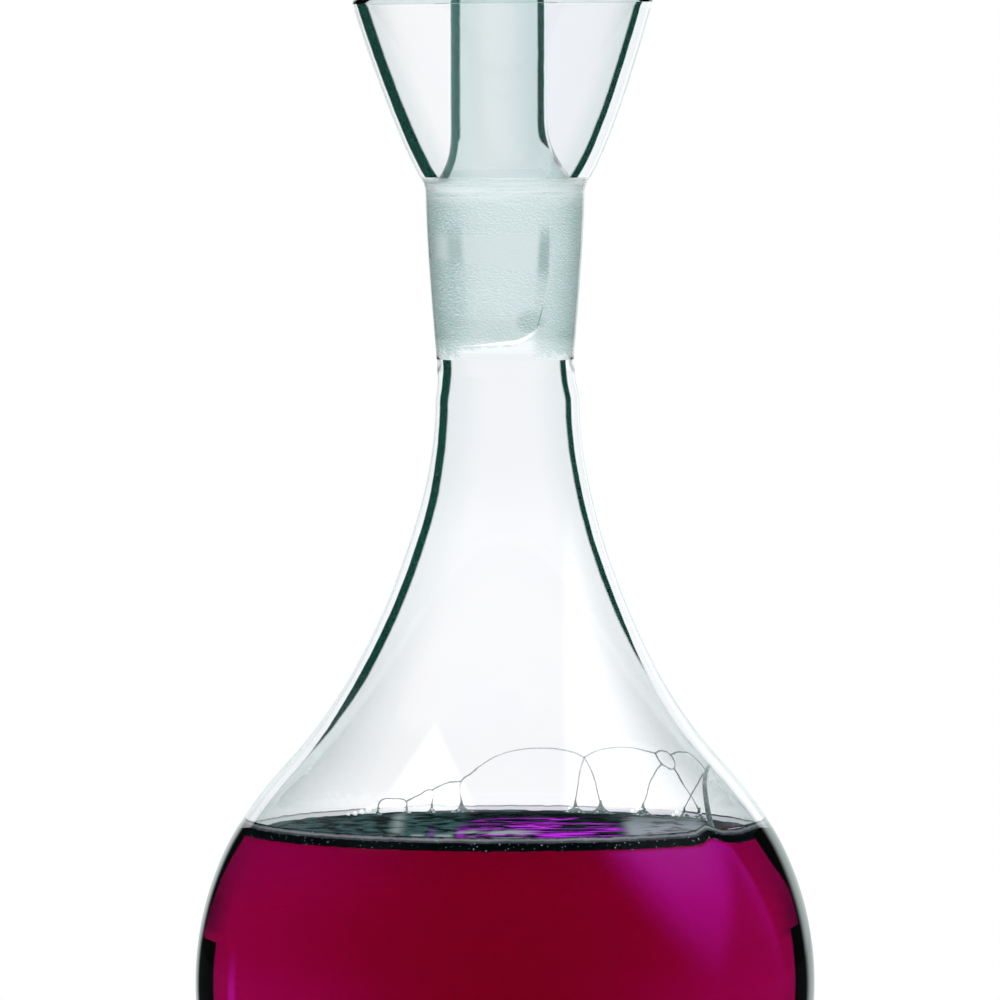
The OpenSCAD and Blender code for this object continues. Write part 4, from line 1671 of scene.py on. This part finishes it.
def on_wall(wall, x, z, off, front=False):
    """The point of the globe's inside at x and a height, a little off the wall, at its back or front."""
    r = wall_radius(wall, z) - off
    y = math.sqrt(max(r * r - x * x, 0))
    return (x, -y if front else y, z)


def rise_off(up):
    """How far the liquid's rise stands off the wall at a height above the surface."""
    return MENISCUS_WIDTH * max(1 - max(up, 0) / MENISCUS_RISE, 0) ** 0.8


def foot_form(wall, x, width, height):
    """A wet foot at x on the back wall: wide below, thin above, and flattened against the glass."""
    steps = 14
    low = SURFACE_Z + SURFACE_SHEET
    rows = []
    for i in range(steps + 1):
        up = height * (1 - i / steps)
        rows.append((BORDER_R + width * math.exp(-4 * up / height), up))

    def against_wall(point, surface):
        across, deep, up = point
        off = FOOT_DEPTH * (width + BORDER_R) + 0.15 + rise_off(up)
        at = on_wall(wall, x + across, low + up, off)
        return (at[0], at[1] + FOOT_DEPTH * deep, at[2])

    return [(0, height)] + rows + [(0, 0)], against_wall


def make_borders(wall, material):
    """Wet borders of the bubbles, thin in the middle of each run."""
    curve = bpy.data.curves.new("foam_borders", "CURVE")
    curve.dimensions = "3D"
    curve.bevel_depth = BORDER_R * MM
    curve.bevel_resolution = 3
    curve.use_fill_caps = True
    for route in [*FOAM_BORDERS, FRONT_BORDER]:
        front = route is FRONT_BORDER
        spline = curve.splines.new("BEZIER")
        spline.bezier_points.add(len(route) - 1)
        for i, (point, (x, z)) in enumerate(zip(spline.bezier_points, route)):
            middle = 1 - abs(2 * i / (len(route) - 1) - 1)
            point.radius = 1.2 - 0.5 * middle
            if front:
                point.radius = 2.0 + 1.6 * (1 - i / (len(route) - 1))
            point.co = Vector(on_wall(wall, x, z, (point.radius + 1) * BORDER_R, front)) * MM
            point.handle_left_type = point.handle_right_type = "AUTO"
    obj = in_scene("foam_borders", curve)
    curve.materials.append(material)
    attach(obj, "glass")


def make_cells(wall):
    """Stretched walls of the bubbles."""
    form = bmesh.new()
    for outline in FOAM_CELLS:
        corners = [Vector(on_wall(wall, x, z, 3 * BORDER_R)) * MM for x, z in outline]
        form.faces.new([form.verts.new(corner) for corner in corners])
    bmesh.ops.triangulate(form, faces=form.faces[:])
    bmesh.ops.recalc_face_normals(form, faces=form.faces[:])
    bmesh.ops.solidify(form, geom=form.faces[:], thickness=CELL_THICK * MM)
    mesh = mesh_of("foam_cells", form)
    mesh.materials.append(cell_material())
    piece("foam_cells", mesh, "glass")


def make_foam(glass, contents):
    """The bubbles that cling to the wall above the surface."""
    wall = inner_wall(glass)
    border = border_material(contents)
    make_borders(wall, border)
    make_cells(wall)
    feet = []
    for x, width, height in FOAM_FEET:
        rows, against_wall = foot_form(wall, x, width, height)
        feet.append(turned("foot", [rows_of(rows)], 32, {OUTER: border}, shift=against_wall))
    beads = []
    bead_material = bubble_material(contents)
    for x, lift, r in FOAM_BEADS:
        at = on_wall(wall, x, SURFACE_Z + lift, r + 0.15 + rise_off(lift))
        rows = [(r * u * (1 - 0.15 * v), r * v) for u, v in arc((0, 0), 1, 80, -80, 12)]
        rows = rows_of([(0, r)] + rows + [(0, -r)])
        beads.append(turned("bead", [rows], 24, {OUTER: bead_material},
                            shift=lambda p, s, at=at: tuple(a + b for a, b in zip(p, at))))
    for name, meshes, material in (("foam_feet", feet, border), ("foam_beads", beads, bead_material)):
        mesh = gathered(name, meshes)
        mesh.materials.append(material)
        smooth(mesh)
        piece(name, mesh, "glass")


class FUNNEL_OT_contents(bpy.types.Operator):
    """Build the liquid, its surface and its foam"""

    bl_idname = "funnel.contents"
    bl_label = "Contents"

    def execute(self, context):
        glass = context.scene.funnel_glass
        contents = context.scene.funnel_contents
        make_liquid(glass, contents)
        make_surface(glass, contents)
        make_foam(glass, contents)
        return {"FINISHED"}


# Stopcock

THREAD_R = 4.0
THREAD_DEPTH = 0.45
THREAD_PITCH = 1.6
THREAD_FLAT = 3.4
PLUG_SMALL_X = 0.8 - BARREL_HALF
PLUG_PLAY = 0.06
COLLAR_X = BARREL_HALF + 1.5
COLLAR_T = 2.5
COLLAR_R = 10.4
HUB_R = 7.5
HANDLE_X = COLLAR_X + COLLAR_T
HANDLE_END_X = PLUG_HIGH.x
GRIP_END_R = 4.6
GRIP_HALF = 3.0
GRIP_Y = PLUG_HIGH.y - GRIP_END_R
PLUG_BORE_R = 2.0
HANDLE_VOXEL = 0.36
HANDLE_PASSES = 6


def marks_group():
    """Turning marks round the X axis, and wide soft smudges, each from 0 to 1."""
    outputs = [("Marks", NUMBER), ("Smudge", NUMBER)]
    tree, (where,) = group_tree("turning_marks", [("Place", VECTOR)], outputs)
    marks = clouds(where, (5200, 140, 140), 3.0)
    add(tree, "NodeGroupOutput", {}, {"Marks": marks, "Smudge": clouds(where, 160.0, 4.0, 0.4)})
    return tree


def plastic(name, group, base, worn, rough, strength):
    """Turned or moulded plastic: marks in its relief, smudges in its tone and gloss."""
    material, tree = new_material(name)
    worked_on = add(tree, "ShaderNodeGroup", {"node_tree": group}, {"Place": place(tree)})
    marks, smudge = [Value(output) for output in worked_on.outputs]
    tone = mixed(ramp(smudge, 0.35, 0.7), base, worn)
    gloss = ramp(smudge, 0.3, 0.7, rough - 0.06, rough + 0.08)
    values = {"Base Color": tone, "Roughness": gloss, "Normal": relief(marks, strength, 0.0003)}
    return finish(material, principled(tree, values))


def thread(point, surface):
    """Cuts the thread and its two flats into the plug's small end, on the stopcock's axis."""
    x, y, z = point
    r = math.hypot(y, z)
    if x < PLUG_SMALL_X - 0.3 and r > 1:
        turn = (x / THREAD_PITCH - math.atan2(z, y) / (2 * math.pi)) % 1
        depth = THREAD_DEPTH * (1 - abs(2 * turn - 1))
        y, z = y * (r - depth) / r, z * (r - depth) / r
        z = min(max(z, -THREAD_FLAT), THREAD_FLAT)
    return across((x, y, z))


def grip_form():
    """T grip: a bar with round ends, softened along its edges."""
    form = bmesh.new()
    soft = 1.0
    layers = [(HANDLE_X, 0)]
    layers += [(HANDLE_END_X - soft + soft * math.sin(a), soft * (1 - math.cos(a))) for a in
               (math.radians(15 * i) for i in range(7))]
    rings = []
    for x, shrink in layers:
        end_r, half = GRIP_END_R - shrink, GRIP_HALF - shrink
        lap = math.degrees(math.asin(half / end_r))
        right = arc((GRIP_Y, 0), end_r, lap - 180, 180 - lap, 24)
        left = arc((-GRIP_Y, 0), end_r, lap, 360 - lap, 24)
        rings.append([form.verts.new([c * MM for c in (x, y, z + BARREL_Z)]) for y, z in right + left])
    for low, high in zip(rings, rings[1:]):
        for i in range(len(low)):
            k = (i + 1) % len(low)
            form.faces.new((low[i], low[k], high[k], high[i]))
    form.faces.new(rings[0][::-1])
    form.faces.new(rings[-1])
    return mesh_of("grip", form)


def make_plug(stopcock, group):
    """Taper plug with its cross bore, threaded end, collar and T handle."""
    worn = tuple(0.9 * c for c in stopcock.plug)
    white = {OUTER: plastic("white_fluoropolymer", group, stopcock.plug, worn, 0.42, 0.12)}

    def plug_radius(x):
        return bore_radius(x) - PLUG_PLAY

    soft = 0.7
    thread_end = PLUG_LOW.x
    body = joined(
        [(0, COLLAR_X + COLLAR_T)],
        arc((COLLAR_R - soft, COLLAR_X + COLLAR_T - soft), soft, 90, 0, 6),
        arc((COLLAR_R - soft, COLLAR_X + soft), soft, 0, -90, 6),
        line((plug_radius(COLLAR_X), COLLAR_X), (plug_radius(PLUG_SMALL_X), PLUG_SMALL_X + 0.4), 24),
        [(plug_radius(PLUG_SMALL_X) - 0.4, PLUG_SMALL_X)],
        line((THREAD_R, PLUG_SMALL_X), (THREAD_R, thread_end + 0.6), 110),
        [(THREAD_R - 0.6, thread_end), (0, thread_end)],
    )
    plug = turned("stopcock_taper_plug", [rows_of(body)], 128, white, along="X", shift=thread)
    hub = joined(
        [(0, HANDLE_END_X)],
        arc((HUB_R - 1.2, HANDLE_END_X - 1.2), 1.2, 90, 0, 6),
        line((HUB_R, HANDLE_END_X - 1.2), (HUB_R, HANDLE_X - 1)),
        [(0, HANDLE_X - 1)],
    )
    hub_mesh = turned("hub", [rows_of(hub)], 96, white, along="X", shift=across)
    handle = melted("handle", [hub_mesh, grip_form()], HANDLE_VOXEL, HANDLE_PASSES)
    hole = [(0, 14), (PLUG_BORE_R, 14), (PLUG_BORE_R, -14), (0, -14)]
    hole = turned("hole", [rows_of(hole)], 64, white,
                  shift=lambda p, s: (p[0], p[2], -p[1] + BARREL_Z))
    mesh = worked(plug, [fuse(handle), cut(hole)])
    mesh.materials.clear()
    give_materials(mesh, [OUTER] * len(mesh.polygons), white)
    smooth(mesh)
    piece("stopcock_taper_plug", mesh, "stopcock", ["stopcock_plug"])
    return white


def make_washer(white):
    """Flat washer with soft rims, keyed to the plug's flats."""
    low, high = WASHER_LOW.x, WASHER_HIGH.x
    outer_r, soft = WASHER_HIGH.y, 0.3
    hole_r = THREAD_R + 0.05
    ring = joined(
        arc((outer_r - soft, high - soft), soft, 90, 0, 4),
        arc((outer_r - soft, low + soft), soft, 0, -90, 4),
        [(hole_r, low), (hole_r, high)],
    )

    def keyed(point, surface):
        x, y, z = point
        if math.hypot(y, z) < hole_r + 0.01:
            z = min(max(z, -THREAD_FLAT - 0.05), THREAD_FLAT + 0.05)
        return across((x, y, z))

    mesh = turned("flat_washer", [rows_of(ring)], 128, white, along="X", shift=keyed)
    piece("flat_washer", mesh, "stopcock", ["plug_washer"])


def make_ring(stopcock, group):
    """Rubber ring with its fine parting line."""
    worn = tuple(2.2 * c for c in stopcock.rubber)
    rubber = {OUTER: plastic("black_rubber", group, stopcock.rubber, worn, 0.58, 0.2)}
    minor = (RING_HIGH.x - RING_LOW.x) / 2
    major = RING_HIGH.y - minor
    middle = (RING_HIGH.x + RING_LOW.x) / 2
    section = arc((major, middle), minor, 180, -174, 59)
    section = [(r + (0.05 if abs(x - middle) < 0.12 and r > major else 0), x) for r, x in section]
    mesh = turned("rubber_ring", [rows_of(section)], 128, rubber, along="X", shift=across)
    piece("rubber_ring", mesh, "stopcock", ["plug_o_ring"])


NUT_FLUTES = 10
NUT_FLUTE_R = 1.5


def make_nut(stopcock, group):
    """Fluted tightening nut with soft rims and a threaded hole."""
    worn = tuple(0.88 * c for c in stopcock.nut)
    white = {OUTER: plastic("nut_plastic", group, stopcock.nut, worn, 0.36, 0.06)}
    low, high = NUT_LOW.x, NUT_HIGH.x
    outer_r, soft = NUT_HIGH.y, 0.8
    hole_r = THREAD_R + 0.05
    ring = joined(
        arc((outer_r - soft, high - soft), soft, 90, 0, 6),
        arc((outer_r - soft, low + soft), soft, 0, -90, 6),
        arc((hole_r + 0.5, low + 0.5), 0.5, -90, -180, 4),
        line((hole_r, low + 0.5), (hole_r, high - 0.5), 60),
        arc((hole_r + 0.5, high - 0.5), 0.5, 180, 90, 4),
    )

    def fluted(point, surface):
        x, y, z = point
        r = math.hypot(y, z)
        turn = math.atan2(z, y)
        if r > hole_r + 1:
            step = 2 * math.pi / NUT_FLUTES
            off = abs((turn + step / 2) % step - step / 2) * outer_r
            depth = 0.9 * (0.5 + 0.5 * math.cos(math.pi * min(off / (NUT_FLUTE_R + 0.5), 1)))
            y, z = y * (r - depth) / r, z * (r - depth) / r
        elif low + 0.6 < x < high - 0.6:
            wave = (x / THREAD_PITCH - turn / (2 * math.pi)) % 1
            depth = 0.3 * (1 - abs(2 * wave - 1))
            y, z = y * (r + depth) / r, z * (r + depth) / r
        return across((x, y, z))

    mesh = turned("fluted_nut", [rows_of(ring)], 240, white, along="X", shift=fluted)
    piece("fluted_nut", mesh, "stopcock", ["plug_nut"])


class FUNNEL_OT_stopcock(bpy.types.Operator):
    """Build the stopcock's plug, washer, ring and nut"""

    bl_idname = "funnel.stopcock"
    bl_label = "Stopcock"

    def execute(self, context):
        stopcock = context.scene.funnel_stopcock
        group = marks_group()
        white = make_plug(stopcock, group)
        make_washer(white)
        make_ring(stopcock, group)
        make_nut(stopcock, group)
        return {"FINISHED"}


# Stage

RIGHT_LAMP = Vector((0.68, 0.05, 0.73))
LEFT_LAMP = Vector((-0.49, 0.0, 0.87))
LAMP_DISTANCE = 1.2
# Tint of what the glass mirrors
MIRROR_TINT = (0.84, 0.95, 0.94)


def lamp_patch(where, direction, low, high, level):
    """A soft bright patch of the surroundings in one direction."""
    inputs = {0: where, 1: direction.normalized()}
    near = read(where.tree, "ShaderNodeVectorMath", "Value", {"operation": "DOT_PRODUCT"}, inputs)
    return ramp(near, low, high, 0.0, level)


def white_panel(direction):
    """1 towards the white panel behind the funnel, which edges the glass with its reflection."""
    right, ahead = parts_of(direction)[:2]
    return ramp(ahead + right * 0.075, 0.905, 0.96)


def make_world(stage):
    """White all round for the eye and through the glass, and plain soft light on the object."""
    world = bpy.data.worlds.new("studio")
    bpy.context.scene.world = world
    world.use_nodes = True
    tree = world.node_tree
    tree.nodes.clear()
    path = light_path(tree)
    where = read(tree, "ShaderNodeTexCoord", "Generated")
    gloss = white_panel(where) * 0.95 + 0.012
    gloss = gloss + lamp_patch(where, RIGHT_LAMP, 0.90, 1.0, 0.18)
    gloss = gloss + lamp_patch(where, LEFT_LAMP, 0.92, 1.0, 0.12)
    rest = (1.0 - path["Is Glossy Ray"]) * stage.ambient
    level = path["Is Glossy Ray"] * gloss + rest
    seen = most(path["Is Camera Ray"], path["Is Transmission Ray"])
    level = most(level, seen)
    mirrored = path["Is Glossy Ray"] * (1.0 - path["Is Transmission Ray"])
    tint = mixed(mirrored, WHITE, MIRROR_TINT)
    background = add(tree, "ShaderNodeBackground", {}, {"Color": tint, "Strength": level})
    add(tree, "ShaderNodeOutputWorld", {}, {"Surface": background})


def make_floor(stage):
    """A pale round floor that keeps the shadow, is plain white far out and dim in the glass's gloss."""
    form = bmesh.new()
    bmesh.ops.create_circle(form, cap_ends=True, segments=96, radius=stage.floor_radius)
    mesh = mesh_of("floor", form)
    obj = in_scene("floor", mesh)
    obj.location.z = STEM_LOW.z * MM - stage.floor_gap
    material, tree = new_material("floor_white")
    where = place(tree)
    reach = read(tree, "ShaderNodeVectorMath", "Value", {"operation": "LENGTH"}, {0: where})
    path = light_path(tree)
    glossy = path["Is Glossy Ray"] * (1.0 - path["Is Transmission Ray"])
    direction = read(tree, "ShaderNodeVectorMath", 0, {"operation": "NORMALIZE"}, {0: where})
    dim = 0.98 - white_panel(direction) * 0.83
    light = 1.0 - glossy * dim
    paper = mixed(clouds(where, 400.0), (0.88, 0.88, 0.88), (0.91, 0.91, 0.91))
    near = add(tree, "ShaderNodeBsdfDiffuse", {}, {"Color": mixed(glossy, paper, (0.02, 0.02, 0.02))})
    tint = mixed(glossy, WHITE, MIRROR_TINT)
    far = add(tree, "ShaderNodeEmission", {}, {"Color": tint, "Strength": light})
    shader = add(tree, "ShaderNodeMixShader", {}, {0: ramp(reach, 0.25, 0.8), 1: near, 2: far})
    mesh.materials.append(finish(material, shader))


def softbox(name, direction, size, power):
    """A square lamp that looks at the globe, and whose gloss the surroundings give."""
    lamp = bpy.data.lights.new(name, "AREA")
    lamp.shape = "RECTANGLE"
    lamp.size, lamp.size_y = size
    lamp.energy = power
    aim = Vector((0, 0, GLOBE_Z * MM))
    obj = in_scene(name, lamp)
    obj.location = aim + direction.normalized() * LAMP_DISTANCE
    obj.rotation_euler = (aim - obj.location).to_track_quat("-Z", "Y").to_euler()
    obj.visible_glossy = False
    obj.visible_transmission = False


def make_camera(stage):
    """A long lens at the height of the rim."""
    data = bpy.data.cameras.new("camera")
    camera = in_scene("camera", data)
    spot = Vector((-stage.axis_shift, -stage.camera_distance, CUP_HIGH.z * MM))
    aim = Vector((-stage.axis_shift, 0, stage.aim_height))
    camera.location = spot
    camera.rotation_euler = (aim - spot).to_track_quat("-Z", "Y").to_euler()
    data.sensor_width = 36
    data.lens = data.sensor_width * (aim - spot).length / stage.picture_width
    data.clip_start = 0.05
    data.clip_end = 50
    bpy.context.scene.camera = camera


class FUNNEL_OT_stage(bpy.types.Operator):
    """Build the floor, the lamps, the surroundings and the camera"""

    bl_idname = "funnel.stage"
    bl_label = "Stage"

    def execute(self, context):
        stage = context.scene.funnel_stage
        context.scene.view_settings.view_transform = "Standard"
        make_world(stage)
        make_floor(stage)
        softbox("right_softbox", RIGHT_LAMP, (0.5, 0.5), stage.softbox)
        softbox("left_softbox", LEFT_LAMP, (0.25, 0.5), stage.softbox * 0.5)
        make_camera(stage)
        return {"FINISHED"}


# Panel and registration

class FUNNEL_PT_panel(bpy.types.Panel):
    """Lists the steps of the build"""

    bl_idname = "FUNNEL_PT_panel"
    bl_label = "Separatory funnel"
    bl_space_type = "VIEW_3D"
    bl_region_type = "UI"
    bl_category = "Funnel"

    def draw(self, context):
        for operator in OPERATORS:
            self.layout.operator(operator.bl_idname)


SETTINGS = {
    "funnel_glass": FunnelGlassSettings,
    "funnel_contents": FunnelContentsSettings,
    "funnel_stopcock": FunnelStopcockSettings,
    "funnel_stage": FunnelStageSettings,
}
OPERATORS = (FUNNEL_OT_glass, FUNNEL_OT_contents, FUNNEL_OT_stopcock, FUNNEL_OT_stage)
CLASSES = (*SETTINGS.values(), *OPERATORS, FUNNEL_PT_panel)


def register():
    """Adds the classes, and their settings to the scene."""
    for item in CLASSES:
        bpy.utils.register_class(item)
    for name, settings in SETTINGS.items():
        setattr(bpy.types.Scene, name, PointerProperty(type=settings))


def unregister():
    """Takes the settings and the classes away."""
    for name in SETTINGS:
        delattr(bpy.types.Scene, name)
    for item in reversed(CLASSES):
        bpy.utils.unregister_class(item)


def main():
    """Builds everything."""
    register()
    bpy.ops.funnel.glass()
    bpy.ops.funnel.contents()
    bpy.ops.funnel.stopcock()
    bpy.ops.funnel.stage()
    bpy.context.view_layer.update()


if __name__ == "__main__":
    main()
